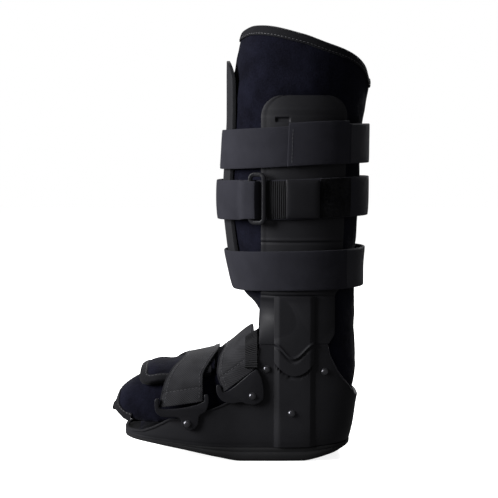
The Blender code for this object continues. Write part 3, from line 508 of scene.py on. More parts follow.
def plan_half(x, height, inset):
    """Half width of the shell's plan at a place, before its rounded ends."""
    return SHELL_WIDTH / 2 * WAIST.at(x / SOLE_LENGTH, "width") * WALL.at(height, "width") - inset


def shell_side(x, inset=0.0, height=1.0):
    """Half width of the shell's wall at a place along the foot and a share of its height."""
    middle, half_length = plan_ends(height, inset)
    share = (x - middle) / half_length
    power = TOE_POWER if share < 0 else HEEL_POWER
    return plan_half(x, height, inset) * (1.0 - min(1.0, abs(share)) ** power) ** (1.0 / power)


# Plan of the liner's leg at the ankle and at the calf
ANKLE_BACK = SOLE_LENGTH / 2 - HEEL_CLEARANCE
ANKLE_FRONT = ANKLE_BACK - ANKLE_DEPTH
CALF_BACK = ANKLE_BACK + CALF_OVERHANG
CALF_FRONT = CALF_BACK - CALF_DEPTH
ANKLE_SIDE = shell_side((ANKLE_FRONT + ANKLE_BACK) / 2) - SHELL_WALL - GAP - LINER_EASE


def leg_rows():
    """Heel and leg rows together, with heights in metres."""
    heel = [(SHELL_TOP * row[0],) + row[1:] for row in HEEL_ROWS]
    leg = [(lerp(SHELL_TOP, BOOT_HEIGHT, row[0]),) + row[1:] for row in LEG_ROWS]
    return heel + leg


LEG = Table(leg_rows(), ("height", "front", "back", "side"))


def leg_section(z):
    """Middle, half depth and half width of the liner's leg at a height."""
    front = lerp(ANKLE_FRONT, CALF_FRONT, LEG.at(z, "front"))
    back = lerp(ANKLE_BACK, CALF_BACK, LEG.at(z, "back"))
    side = lerp(ANKLE_SIDE, CALF_WIDTH / 2, LEG.at(z, "side"))
    return (front + back) / 2, (back - front) / 2, side


def leg_point(angle, z, offset):
    """Point on the liner's leg moved out by an offset. Angle 0 is the front, a quarter turn the near side."""
    middle, depth, side = leg_section(z)
    power = 2.0 / LEG_POWER
    x = middle - (depth + offset) * signed_power(math.cos(angle), power)
    y = -(side + offset) * signed_power(math.sin(angle), power)
    return Vector((x, y, z))


def leg_side(x, z, offset):
    """Half width of the liner's leg, moved out by an offset, at a place and height."""
    middle, depth, side = leg_section(z)
    share = min(1.0, abs(x - middle) / (depth + offset))
    return (side + offset) * (1.0 - share ** LEG_POWER) ** (1.0 / LEG_POWER)


def liner_top(x):
    """Height of the liner's top edge at a place from front to back."""
    return BOOT_HEIGHT * TOP.at((x - CALF_FRONT) / CALF_DEPTH, "height")


def foot_section(x):
    """Half width, widest level and top of the liner's foot at a place."""
    place = x / SOLE_LENGTH
    side, base, top = (FOOT.at(place, name) for name in ("side", "base", "top"))
    return SHELL_WIDTH * side, SHELL_TOP * base, SHELL_TOP * top


def foot_point(x, angle, offset):
    """Point on the upper half of the foot moved out. Angle 0 is the near side, a quarter turn the top."""
    side, base, top = foot_section(x)
    power = 2.0 / FOOT_POWER
    y = -(side + offset) * signed_power(math.cos(angle), power)
    z = base + (top + offset - base) * signed_power(math.sin(angle), power)
    return Vector((x, y, z))


def foot_angle(x, z, offset):
    """Angle on the foot's near side at which its surface is at a height."""
    base, top = foot_section(x)[1:]
    share = clamp((z - base) / (top + offset - base))
    return math.asin(share ** (FOOT_POWER / 2.0))


def polyline(points, x):
    """Height of a chain of straight lines at a place."""
    if x <= points[0][0]:
        return points[0][1]
    for (x0, z0), (x1, z1) in zip(points, points[1:]):
        if x <= x1:
            return lerp(z0, z1, (x - x0) / (x1 - x0)) if x1 > x0 else z1
    return points[-1][1]


def side_outline(rows):
    """Points of a side outline whose rows are shares of the sole's length and the shell's top."""
    return [(SOLE_LENGTH * place, SHELL_TOP * height) for place, height in rows]


# Scene: finishes and ways of making meshes
class Finish:
    """A node material being built, with short calls for the nodes it needs."""

    def __init__(self, name, roughness, metallic=0.0):
        self.material = bpy.data.materials.new(name)
        self.material.use_nodes = True
        self.tree = self.material.node_tree
        self.shader = self.tree.nodes["Principled BSDF"]
        self.shader.inputs["Roughness"].default_value = roughness
        self.shader.inputs["Metallic"].default_value = metallic

    def node(self, kind, output, sockets, **settings):
        """Output of a new node whose sockets are set to numbers or linked to other outputs."""
        made = self.tree.nodes.new(kind)
        for key, value in settings.items():
            setattr(made, key, value)
        for key, value in sockets.items():
            if isinstance(value, bpy.types.NodeSocket):
                self.tree.links.new(value, made.inputs[key])
            else:
                made.inputs[key].default_value = value
        return made.outputs[output]

    def drive(self, name, value):
        """Link a value to a socket of the shader."""
        self.tree.links.new(value, self.shader.inputs[name])

    def place(self):
        """Position on the object in metres."""
        return self.node("ShaderNodeTexCoord", "Object", {})

    def run(self, axis):
        """Position along (X) or across (Y) a strap in metres."""
        where = self.node("ShaderNodeUVMap", "UV", {}, uv_map=RUN_MAP)
        return self.node("ShaderNodeSeparateXYZ", axis, {"Vector": where})

    def noise(self, scale, detail=3.0, roughness=0.5):
        sockets = {"Scale": scale, "Detail": detail, "Roughness": roughness, "Vector": self.place()}
        return self.node("ShaderNodeTexNoise", "Fac", sockets)

    def cells(self, scale):
        return self.node("ShaderNodeTexVoronoi", "Distance", {"Scale": scale, "Vector": self.place()})

    def math(self, operation, *values):
        return self.node("ShaderNodeMath", 0, dict(enumerate(values)), operation=operation)

    def waves(self, value, length):
        """Sine waves of one length along a place in metres."""
        return self.math("SINE", self.math("MULTIPLY", value, 2.0 * math.pi / length))

    def mixed(self, first, second, share):
        """Two values mixed, the second with a share."""
        return self.math("ADD", self.math("MULTIPLY", first, 1.0 - share), self.math("MULTIPLY", second, share))

    def spread(self, value, low, high, out_low=0.0, out_high=1.0):
        sockets = {"From Min": low, "From Max": high, "To Min": out_low, "To Max": out_high, "Value": value}
        return self.node("ShaderNodeMapRange", "Result", sockets)

    def colours(self, value, first, second):
        """Base colour running between two colours."""
        sockets = {"Factor": value, "A": (*first, 1.0), "B": (*second, 1.0)}
        self.drive("Base Color", self.node("ShaderNodeMix", "Result", sockets, data_type="RGBA"))

    def rough(self, value, low, high):
        self.drive("Roughness", self.spread(value, 0.0, 1.0, low, high))

    def bump(self, *layers):
        """Bumps stacked from coarse to fine, each a height with its depth in metres and its strength."""
        below = {}
        for height, distance, strength in layers:
            sockets = {"Distance": distance, "Strength": strength, "Height": height, **below}
            below = {"Normal": self.node("ShaderNodeBump", "Normal", sockets)}
        self.drive("Normal", below["Normal"])

    def constant(self, **sockets):
        names = {"specular": "Specular IOR Level", "sheen": "Sheen Weight",
                 "sheen_roughness": "Sheen Roughness", "glow": "Emission Strength"}
        for key, value in sockets.items():
            self.shader.inputs[names[key]].default_value = value
        return self


def moulded(name, dark, light, roughness, grain):
    """Moulded plastic: fine pebble grain, faint flow marks and uneven gloss."""
    made = Finish(name, roughness)
    made.colours(made.noise(28.0, 4.0), dark, light)
    made.rough(made.noise(60.0, 4.0), roughness - 0.07, roughness + 0.09)
    made.bump((made.noise(45.0, 2.0), 0.0006, 0.20), (made.cells(grain), 0.00012, 0.35))
    made.constant(specular=0.08)
    return made.material


def rubber(name):
    made = Finish(name, 0.78)
    made.colours(made.noise(40.0, 4.0), (0.0055, 0.0055, 0.0062), (0.0100, 0.0100, 0.0110))
    made.bump((made.noise(900.0, 3.0), 0.0002, 0.5))
    made.constant(specular=0.12)
    return made.material


def loop_fabric(name, dark, light, pile):
    """Brushed loop fabric: short tangled pile, patches brushed one way and the other, soft sheen."""
    made = Finish(name, 0.95)
    patches = made.noise(34.0, 5.0, 0.62)
    tufts = made.noise(pile, 4.0, 0.7)
    made.colours(made.spread(made.mixed(patches, tufts, 0.4), 0.38, 0.62), dark, light)
    made.bump((patches, 0.0012, 0.25), (tufts, 0.0007, 0.75), (made.noise(pile * 3.0, 2.0), 0.0003, 0.5))
    made.constant(specular=0.03, sheen=0.015, sheen_roughness=0.5)
    return made.material


def webbing(name, dark, light, yarn, ribs=0.0):
    """Woven webbing: over and under yarns along and across the strap, with uneven fibres."""
    made = Finish(name, 0.82)
    along, across = made.run("X"), made.run("Y")
    weave = made.spread(made.math("MULTIPLY", made.waves(along, yarn), made.waves(across, yarn)), -1.0, 1.0)
    fibres = made.noise(1400.0, 3.0, 0.7)
    wear = made.noise(55.0, 4.0)
    made.colours(made.spread(made.mixed(weave, wear, 0.55), 0.25, 0.75), dark, light)
    layers = [(weave, yarn * 0.25, 0.6), (fibres, 0.0002, 0.5)]
    if ribs:
        layers.insert(0, (made.waves(along, ribs), ribs * 0.2, 0.8))
    made.bump(*layers)
    made.constant(specular=0.07, sheen=0.02, sheen_roughness=0.5)
    return made.material


def bare_metal(name):
    made = Finish(name, 0.30, 1.0)
    made.colours(made.noise(180.0, 3.0), (0.060, 0.060, 0.068), (0.110, 0.110, 0.120))
    made.rough(made.noise(420.0, 3.0), 0.22, 0.38)
    made.bump((made.noise(600.0, 2.0), 0.00008, 0.5))
    return made.material


def thread(name):
    made = Finish(name, 0.6)
    made.shader.inputs["Base Color"].default_value = (0.02, 0.02, 0.024, 1.0)
    return made.material


def dress(obj, finish, slot, *nodes):
    """Give a piece its finish and its body, and hide the solids that it stands for. The slot argument is not used.
    """
    obj.data.materials.clear()
    obj.data.materials.append(finish)
    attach(obj, "root")
    if nodes:
        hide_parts(*nodes)
    return obj


def add_object(name, data):
    made = bpy.data.objects.new(name, data)
    bpy.context.scene.collection.objects.link(made)
    return made


def shade(mesh, sharp=50.0):
    mesh.shade_smooth()
    mesh.set_sharp_from_angle(angle=math.radians(sharp))


def piece_from(builder, name, sharp=50.0):
    """A smooth-shaded object from a bmesh, with its faces turned outwards."""
    bmesh.ops.recalc_face_normals(builder, faces=builder.faces)
    mesh = bpy.data.meshes.new(name)
    builder.to_mesh(mesh)
    builder.free()
    shade(mesh, sharp)
    return add_object(name, mesh)


def modify(obj, kind, **settings):
    """Add a modifier with its settings."""
    modifier = obj.modifiers.new(kind.lower(), kind)
    for key, value in settings.items():
        setattr(modifier, key, value)
    return modifier


def round_edges(obj, width, segments=3, angle=42.0):
    """Bevel a piece's sharp edges and apply it."""
    modify(obj, "BEVEL", width=width, segments=segments, limit_method="ANGLE", angle_limit=math.radians(angle))
    return apply_modifiers(obj)


def apply_modifiers(obj):
    """Replace a piece's mesh by the mesh its modifiers make."""
    graph = bpy.context.evaluated_depsgraph_get()
    mesh = bpy.data.meshes.new_from_object(obj.evaluated_get(graph), depsgraph=graph)
    obj.modifiers.clear()
    old = obj.data
    obj.data = mesh
    bpy.data.meshes.remove(old)
    shade(mesh)
    return obj


def sheet_mesh(inner, outer, across, along, name, loop=False, scale=(1.0, 1.0), bevel=0.0006):
    """A closed sheet between two surfaces over a grid, with a map in metres and rounded edges."""
    builder = bmesh.new()
    run = builder.loops.layers.uv.new(RUN_MAP)
    columns = across if loop else across + 1
    grids = []
    for surface in (inner, outer):
        grids.append([[builder.verts.new(surface(i / across, j / along)) for i in range(columns)]
                      for j in range(along + 1)])
    low, high = grids

    def face(*corners):
        made = builder.faces.new([corner[0] for corner in corners])
        for loop_corner, corner in zip(made.loops, corners):
            loop_corner[run].uv = (corner[1] / across * scale[0], corner[2] / along * scale[1])

    for grid in grids:
        for j in range(along):
            for i in range(across):
                k = (i + 1) % columns
                face((grid[j][i], i, j), (grid[j][k], i + 1, j),
                     (grid[j + 1][k], i + 1, j + 1), (grid[j + 1][i], i, j + 1))
    for j in (0, along):
        for i in range(across):
            k = (i + 1) % columns
            face((low[j][i], i, j), (low[j][k], i + 1, j), (high[j][k], i + 1, j), (high[j][i], i, j))
    if not loop:
        for i in (0, across):
            for j in range(along):
                face((low[j][i], i, j), (low[j + 1][i], i, j + 1),
                     (high[j + 1][i], i, j + 1), (high[j][i], i, j))
    made = piece_from(builder, name)
    return round_edges(made, bevel) if bevel else made


# Scene: the outsole and the hard shell
def plan_row(share, side, height, inset):
    """Point of the shell's plan at a share of its length, -1 at the toe and 1 at the heel."""
    middle, half_length = plan_ends(height, inset)
    x = middle + half_length * share
    return x, side * shell_side(x, inset, height)


def plan_shares(count, extra=()):
    """Places round the plan as (share, side): toe, near side, heel and back along the far side."""
    middle, half_length = plan_ends(1.0, 0.0)
    even = [-math.cos(math.pi * i / count) for i in range(count + 1)]
    dense = [(x - middle) / half_length for x in extra]
    shares = sorted(set(round(s, 6) for s in even + dense))
    near = [(s, NEAR) for s in shares]
    far = [(s, FAR) for s in reversed(shares[1:-1])]
    return near + far


def ring_surface(builder, rings):
    """Quads between neighbouring rings of points."""
    verts = [[builder.verts.new(point) for point in ring] for ring in rings]
    bridge_rings(builder, verts)
    return verts


def bridge_rings(builder, verts):
    for low, high in zip(verts, verts[1:]):
        for i in range(len(low)):
            j = (i + 1) % len(low)
            builder.faces.new((low[i], low[j], high[j], high[i]))


def capped_rings(builder, rings):
    """A closed skin over rings whose ends are flat faces."""
    verts = ring_surface(builder, rings)
    builder.faces.new(verts[0])
    builder.faces.new(verts[-1])


def cap_ring(builder, ring, half):
    """Close a plan ring with strips between points that face each other across Y."""
    count = len(ring)
    builder.faces.new((ring[0], ring[1], ring[count - 1]))
    for i in range(1, half - 1):
        builder.faces.new((ring[i], ring[i + 1], ring[count - i - 1], ring[count - i]))
    builder.faces.new((ring[half], ring[half + 1], ring[half - 1]))


def make_outsole(finish):
    """Rubber rocker sole with a rounded lower edge and a welt line along its side."""
    columns = plan_shares(SOLE_COLUMNS)
    half = len(columns) // 2
    rings = []
    for level, inset in SOLE_PROFILE:
        ring = []
        for share, side in columns:
            x, y = plan_row(share, side, 0.0, inset)
            z = lerp(rocker(x, "underside"), rocker(x, "top"), level)
            ring.append(Vector((x, y, z)))
        rings.append(ring)
    builder = bmesh.new()
    verts = ring_surface(builder, rings)
    cap_ring(builder, verts[0], half)
    cap_ring(builder, verts[-1], half)
    sole = piece_from(builder, "outsole_looks")
    return dress(sole, finish, "sole_rubber", "outsole")


def rim_points():
    """Rim of the shell seen from the side: toe, strap seat, ear and heel."""
    ear = [(EAR_FRONT, SHELL_TOP), (EAR_FRONT + EAR_LENGTH, SHELL_TOP)]
    return side_outline(RIM_FRONT_ROWS) + ear + side_outline(RIM_HEEL_ROWS)


def rim_height(x, points):
    """Height of the rim, with its corners rounded a little."""
    near_heights = [polyline(points, x + step) for step in RIM_BLUR]
    return sum(near_heights) / len(near_heights)


def tongue_low(share):
    """Height of the tongue's curved lower edge at a share of its width."""
    return SHELL_TOP - TONGUE_DROP + TONGUE_CURVE * (2.0 * share - 1.0) ** 2


def channel_rise(x, edge):
    """Share of the raised channel's rise across its width, 0 outside it."""
    across = (x - CHANNEL_FRONT) / CHANNEL_WIDTH
    if across < 0.0 or across > 1.0:
        return 0.0
    return min(1.0, lerp(edge, 1.0, min(across, 1.0 - across) * CHANNEL_WIDTH / CHANNEL_BEVEL))


def shell_relief(x, z, rim):
    """How far the shell's outer face stands out: side panel, foot line, rolled rim, recess under the tongue."""
    across = clamp((x - CHANNEL_FRONT) / CHANNEL_WIDTH)
    under_tongue = ease((tongue_low(across) - CHANNEL_SHADOW - z) / 0.0012)
    panel = CHANNEL_RISE * channel_rise(x, BLOCK_EDGE) * under_tongue
    base = rocker(x, "top") + GAP
    foot_line = -SHELL_LINE_DEPTH * hump(z - base, SHELL_LINE_LIFT, SHELL_LINE_WIDTH)
    lip = RIM_LIP * ease((z - rim + RIM_LIP_WIDTH) / RIM_LIP_EASE) if rim < SHELL_TOP - RIM_LIP_WIDTH else 0.0
    return panel + foot_line + lip


def make_shell(finish):
    """Hollow hard shell with its rim, ears, heel notch and a raised panel on each side."""
    points = rim_points()
    edges = [CHANNEL_FRONT, CHANNEL_FRONT + CHANNEL_WIDTH, EAR_FRONT, EAR_FRONT + EAR_LENGTH]
    extra = [edge + step * SHELL_EDGE_STEP for edge in edges for step in range(-8, 9)]
    columns = plan_shares(SHELL_COLUMNS, extra)
    half = len(columns) // 2
    top = SHELL_TOP + SHELL_MARGIN

    def rings(inset, lift, rows, relief):
        made = []
        for j in range(rows + 1):
            ring = []
            for share, side in columns:
                rim_x = plan_row(share, side, 1.0, inset)[0]
                base = rocker(rim_x, "top") + GAP + lift
                rim = rim_height(rim_x, points)
                z = lerp(base, rim, (j / rows) ** SHELL_ROW_POWER)
                if j > rows - RIM_ROWS:
                    z = max(z, rim - (rows - j) * RIM_STEP)
                x, y = plan_row(share, side, (z - base) / (top - base), inset)
                out = shell_relief(x, z, rim) if relief and abs(share) < SHELL_RELIEF_REACH else 0.0
                ring.append(Vector((x, y + side * out, z)))
            made.append(ring)
        return made

    builder = bmesh.new()
    outer = ring_surface(builder, rings(0.0, 0.0, SHELL_ROWS, True))
    inner = ring_surface(builder, rings(SHELL_WALL, FLOOR_WALL, SHELL_ROWS, False))
    bridge_rings(builder, [outer[-1], inner[-1]])
    cap_ring(builder, outer[0], half)
    cap_ring(builder, inner[0], half)
    shell = piece_from(builder, "shell_looks", 35.0)
    round_edges(shell, SHELL_ROUND)
    return dress(shell, finish, "shell_plastic", "shell_base")


# Scene: the uprights and the shin plate
def upright_inner(x, z):
    """How far out an upright's inner face lies: at the shell's wall below, on the liner above."""
    share = ease((z - SHELL_TOP) / (STRUT_TOP - SHELL_TOP))
    on_liner = leg_side(x, z, FIT)
    return max(on_liner, lerp(shell_side(x, SHELL_WALL), on_liner, share))


CUFF_BACKS = Table((
    (SHELL_TOP, EAR_FRONT + EAR_LENGTH),
    (SHELL_TOP + STRUT_FLARE_LOW, EAR_FRONT + STRUT_LENGTH),
    (STRUT_TOP, EAR_FRONT + STRUT_LENGTH),
    (STRUT_TOP + STRUT_FLARE_HIGH, EAR_FRONT + CUFF_LENGTH - 2 * CUFF_STEP),
    (CUFF_TOP, EAR_FRONT + CUFF_STEP + CUFF_LENGTH),
), ("height", "back"))


def plate_rows(low, top, corner, rows):
    """Heights of a plate's rows, closer together round its top corners."""
    straight = top - corner
    below = [lerp(low, straight, i / rows) for i in range(rows + 1)]
    turns = [math.pi / 2 * i / CORNER_ROWS for i in range(1, CORNER_ROWS + 1)]
    return below + [straight + corner * math.sin(angle) for angle in turns]


def corner_tuck(z, top, corner):
    """How far round top corners have drawn a plate's sides in at a height."""
    over = max(0.0, z - (top - corner))
    return corner - math.sqrt(max(0.0, corner ** 2 - over ** 2))


def cuff_edges(z):
    """Front and back of an upright seen from the side, at a height."""
    front = lerp(EAR_FRONT, EAR_FRONT + CUFF_STEP, clamp((z - SHELL_TOP) / (STRUT_TOP - SHELL_TOP)))
    back = CUFF_BACKS.at(z, "back")
    tuck = corner_tuck(z, CUFF_TOP, CUFF_CORNER)
    return front + tuck, back - tuck


def upright_relief(x, z):
    """Moulded lines on an upright: grooves and beads across it, a sunk slot and a border round the cuff."""
    grooves = sum(hump(z, height, UPRIGHT_LINE_WIDTH) for height in UPRIGHT_LINES)
    beads = sum(hump(z, height + UPRIGHT_BEAD_LIFT, UPRIGHT_BEAD_WIDTH) for height in UPRIGHT_LINES)
    slot = min(SLOT_HALF[0] - abs(x - SLOT_PLACE[0]), SLOT_HALF[1] - abs(z - SLOT_PLACE[1])) / SLOT_EASE
    front, back = cuff_edges(z)
    border = ease((min(x - front, back - x) - CUFF_BORDER) / CUFF_BORDER_EASE)
    lines = UPRIGHT_BEAD_RISE * beads - UPRIGHT_LINE_DEPTH * grooves
    return lines - SLOT_DEPTH * ease(slot + 0.5) - CUFF_BORDER_DEPTH * border * ease((z - STRUT_TOP) / 0.010)


def make_upright(label, side, finish):
    """One hard side upright: calf cuff and strut, with its raised channel and the tongue over the shell."""
    heights = plate_rows(SHELL_TOP + GAP, CUFF_TOP, CUFF_CORNER, UPRIGHT_ROWS)
    steps = len(heights) - 1

    def face(lift):
        def surface(across, along):
            z = heights[round(along * steps)]
            front, back = cuff_edges(z)
            x = lerp(front, back, across)
            relief = upright_relief(x, z) if lift else 0.0
            return Vector((x, side * (upright_inner(x, z) + lift + relief), z))
        return surface

    plate = sheet_mesh(face(0.0), face(UPRIGHT_WALL), UPRIGHT_COLUMNS, steps, "plate", bevel=UPRIGHT_ROUND)
    seat_top = SHELL_TOP + 2 * GAP

    def outside(x, z):
        return max(upright_inner(x, max(z, SHELL_TOP)) + UPRIGHT_WALL, shell_side(x))

    def wave(x, z):
        """Rolled wave across the channel above the tongue, with a hollow under it."""
        share = clamp((x - CHANNEL_FRONT) / CHANNEL_WIDTH)
        late = 0.5 + 0.5 * (share - WAVE_MIDDLE) / (1.0 - WAVE_MIDDLE)
        swing = 0.5 * share / WAVE_MIDDLE if share < WAVE_MIDDLE else late
        line = SHELL_TOP + WAVE_TOP - WAVE_DROP * 0.5 * (1.0 - math.cos(turn(swing)))
        return WAVE_RISE * hump(z, line, WAVE_WIDTH) - WAVE_DIP * hump(z, line + WAVE_DIP_LIFT, WAVE_DIP_WIDTH)

    def channel(lift):
        def surface(across, along):
            x = CHANNEL_FRONT + CHANNEL_WIDTH * across
            z = lerp(tongue_low(across), STRUT_TOP, along)
            out = outside(x, z)
            if lift:
                level = TONGUE_WALL * channel_rise(x, CHANNEL_EDGE) + wave(x, z)
                return Vector((x, side * (out + GAP + level), z))
            seat = shell_side(x) + GAP if z <= seat_top else out - UPRIGHT_WALL / 2
            return Vector((x, side * seat, z))
        return surface

    tongue = sheet_mesh(channel(0), channel(1), CHANNEL_COLUMNS, CHANNEL_ROWS, "tongue", bevel=UPRIGHT_ROUND)
    upright = join([plate, tongue], "upright_" + label + "_looks")
    return dress(upright, finish, "shell_plastic", "upright_" + label)


def make_front_panel(finish):
    """Thin curved shin plate with round top corners."""
    heights = plate_rows(PANEL_FOOT, PANEL_TOP, PANEL_CORNER, PANEL_ROWS)
    rows = len(heights) - 1

    def face(offset):
        def surface(across, along):
            z = heights[round(along * rows)]
            tuck = corner_tuck(z, PANEL_TOP, PANEL_CORNER)
            half = PANEL_WIDTH / 2 - min(tuck, PANEL_CORNER * PANEL_CORNER_SHARE)
            side = leg_section(z)[2] + offset
            widest = math.asin((half / side) ** (LEG_POWER / 2))
            point = leg_point(lerp(-widest, widest, across), z, offset)
            point.x -= PANEL_FLARE * max(0.0, (z - PANEL_TOP) / PANEL_FLARE_RUN + 1.0) ** 2
            return point
        return surface

    panel = sheet_mesh(face(FIT), face(FIT + PANEL_WALL), PANEL_COLUMNS, rows, "front_panel_looks",
                       bevel=PANEL_ROUND)
    return dress(panel, finish, "shell_plastic", "front_panel")


# Scene: the straps round the leg
def even_loop(point_at, start, end, count=LOOP_SAMPLES):
    """Angles at even distances along a loop between two angles, as a function of a share, and its length."""
    angles = [lerp(start, end, i / count) for i in range(count + 1)]
    points = [point_at(angle) for angle in angles]
    lengths = [0.0]
    for a, b in zip(points, points[1:]):
        lengths.append(lengths[-1] + (b - a).length)

    def angle_at(share):
        target = clamp(share) * lengths[-1]
        i = min(count - 1, max(0, bisect.bisect_right(lengths, target) - 1))
        step = lengths[i + 1] - lengths[i]
        return lerp(angles[i], angles[i + 1], (target - lengths[i]) / step if step else 0.0)
    return angle_at, lengths[-1]


def strap_height(strap, angle, place):
    """Height on a leg strap at a share of its width. The strap rises towards the heel."""
    height, rise = strap
    return height + rise * (leg_point(angle, height, 0.0).x - CALF_FRONT) / CALF_DEPTH + LEG_STRAP_WIDTH * place


def strap_layer(name, strap, inset, wall, start=0.0, end=2.0 * math.pi, low=-0.5, high=0.5, shape=None):
    """One layer of a leg strap between two angles: a closed loop when it goes right round."""
    height = strap[0]
    loop = end - start > 2.0 * math.pi - 1e-6
    angle_at, length = even_loop(lambda angle: leg_point(angle, height, inset), start, end)
    across = max(4, round(length / STRAP_CELL))

    def at(offset, share, along):
        angle = angle_at(share)
        level = leg_point(angle, height, 0.0)
        lift, spread = shape(share * length, length) if shape else (0.0, 0.0)
        z = strap_height(strap, angle, lerp(low - spread, high + spread, along))
        crown = STRAP_CROWN * (1.0 - abs(2.0 * along - 1.0) ** 6)
        wander = STRAP_WANDER * noise.noise(Vector((level.x, level.y, height)) * 14.0)
        return leg_point(angle, z + wander, offset + lift + (crown if offset > inset else 0.0))

    inner = functools.partial(at, inset)
    outer = functools.partial(at, inset + wall)
    size = (length, LEG_STRAP_WIDTH * (high - low))
    return sheet_mesh(inner, outer, across, STRAP_ROWS_FINE, name, loop=loop, scale=size, bevel=STRAP_ROUND)


def stitches(name, at_surface, places, lift, reach=0.01):
    """A row of stitches through places on a surface, each a small capsule standing out of the cloth."""
    path = [at_surface(*place, lift) for place in places]
    outwards = [(at_surface(*place, reach) - at_surface(*place, 0.0)).normalized() for place in places]
    builder = bmesh.new()
    run = [0.0]
    for a, b in zip(path, path[1:]):
        run.append(run[-1] + (b - a).length)

    def at(distance):
        i = min(len(path) - 2, max(0, bisect.bisect_right(run, distance) - 1))
        step = run[i + 1] - run[i]
        share = (distance - run[i]) / step if step else 0.0
        return path[i].lerp(path[i + 1], share), outwards[i].lerp(outwards[i + 1], share).normalized()

    for k in range(int(run[-1] / (STITCH + STITCH_GAP))):
        begin = (k + 0.5) * (STITCH + STITCH_GAP) - STITCH / 2
        rings = []
        for share, size in STITCH_PROFILE:
            centre, out = at(begin + share * STITCH)
            ahead = (at(begin + share * STITCH + 0.0002)[0] - centre).normalized()
            aside = out.cross(ahead).normalized()
            middle = centre + out * (STITCH_RISE * (size - STITCH_PROFILE[0][1]))
            angles = [turn(i / STITCH_SIDES) for i in range(STITCH_SIDES)]
            rings.append([middle + (aside * math.cos(a) + out * math.sin(a)) * STITCH_THICK * size for a in angles])
        capped_rings(builder, rings)
    return piece_from(builder, name)


def near_angle(x, z, offset):
    """Angle round the leg, on the near side, at a place from front to back."""
    middle, depth = leg_section(z)[:2]
    share = clamp((middle - x) / (depth + offset), -1.0, 1.0)
    return math.acos(signed_power(share, LEG_POWER / 2.0))


def make_leg_straps(finishes):
    """The three leg straps, each a whole loop, with what is sewn or laid on them."""
    web = finishes["web"]
    outer = STRAP_OFFSET + STRAP_WALL
    upper = (UPPER_STRAP_HEIGHT, UPPER_STRAP_RISE)
    middle = (MIDDLE_STRAP_HEIGHT, MIDDLE_STRAP_RISE)
    lower = (LOWER_STRAP_HEIGHT, LOWER_STRAP_RISE)

    def laid(name, strap, wall, start, end, half):
        """A thin tape laid on a strap."""
        return strap_layer(name, strap, outer - TAPE_SINK, wall, start, end, -half, half)

    def whole(label, strap, *laps):
        """A strap's loop joined with what is lapped over it."""
        loop = strap_layer("loop", strap, STRAP_OFFSET, STRAP_WALL)
        dress(join([loop, *laps], "strap_" + label + "_looks"), web, "strap_web", "strap_" + label)

    begin = near_angle(OVERLAP_FRONT, upper[0], STRAP_OFFSET)
    whole("upper", upper, strap_layer("lap", upper, outer, LAP_WALL, begin, math.radians(LAP_END), -0.5,
                                      0.5 + UPPER_STRAP_STEP / LEG_STRAP_WIDTH, lap_shape))

    edges = (BUCKLE_FRONT + FOLD_REACH, BUCKLE_FRONT + BUCKLE_LENGTH, KEEPER_FRONT - FIT,
             KEEPER_FRONT + KEEPER_LENGTH + FIT)
    fold_end, ribbed_start, ribbed_end, rough_start = (near_angle(x, middle[0], outer) for x in edges)
    whole("middle", middle, strap_layer("fold", middle, outer, STRAP_WALL, -math.radians(FOLD_END), fold_end,
                                        shape=fold_shape))
    ribbed = laid("strap_middle_ribbed", middle, RIBBED_WALL, ribbed_start, ribbed_end, 0.47)
    dress(ribbed, finishes["ribbed"], "rough_loop")
    rough = laid("strap_middle_rough", middle, TAPE_WALL, rough_start, math.radians(ROUGH_END), 0.49)
    dress(rough, finishes["rough"], "rough_loop")

    whole("lower", lower)
    # Patches laid on the back of the upper and lower straps are real pieces, but their paler colour is painted
    # sheen: it stands in for light caught by webbing that runs another way.
    patches = [laid("patch", strap, TAPE_WALL, math.radians(PATCH_START), math.radians(PATCH_END), 0.48)
               for strap in (upper, lower)]
    dress(join(patches, "strap_patches"), finishes["painted_sheen_web"], "strap_web")

    rows = []
    for strap in (upper, middle, lower):
        for share in (-STITCH_PLACE, STITCH_PLACE):
            angles = [lerp(math.pi, 2.0 * math.pi, i / 160) for i in range(161)]
            places = [(angle, strap_height(strap, angle, share)) for angle in angles]
            rows.append(stitches("stitch", leg_point, places, outer + STRAP_CROWN))
    angle = near_angle(OVERLAP_FRONT + 0.004, upper[0], outer)
    places = [(angle, strap_height(upper, angle, lerp(-0.42, 0.48, i / 20))) for i in range(21)]
    rows.append(stitches("stitch", leg_point, places, outer + LAP_WALL + STRAP_CROWN))
    dress(join(rows, "strap_stitches"), finishes["thread"], "strap_web")


def lap_shape(distance, length):
    """The lapped end lies flat and tucks under towards its end at the back."""
    return -LAP_WALL * TUCK * ease(1.0 - (length - distance) / TUCK_RUN), 0.0


def fold_shape(distance, length):
    """The folded end climbs over the buckle's front bar, turns down round it and narrows a little."""
    left = length - distance
    climb = ease(1.0 - (left - FOLD_TOP) / FOLD_CLIMB)
    nose = math.sqrt(max(0.0, 1.0 - (1.0 - clamp(left / FOLD_NOSE)) ** 2))
    start = ease(1.0 - distance / FOLD_START_RUN)
    return FOLD_OVER * climb * nose - STRAP_WALL * TUCK * start, -FOLD_NARROW * climb


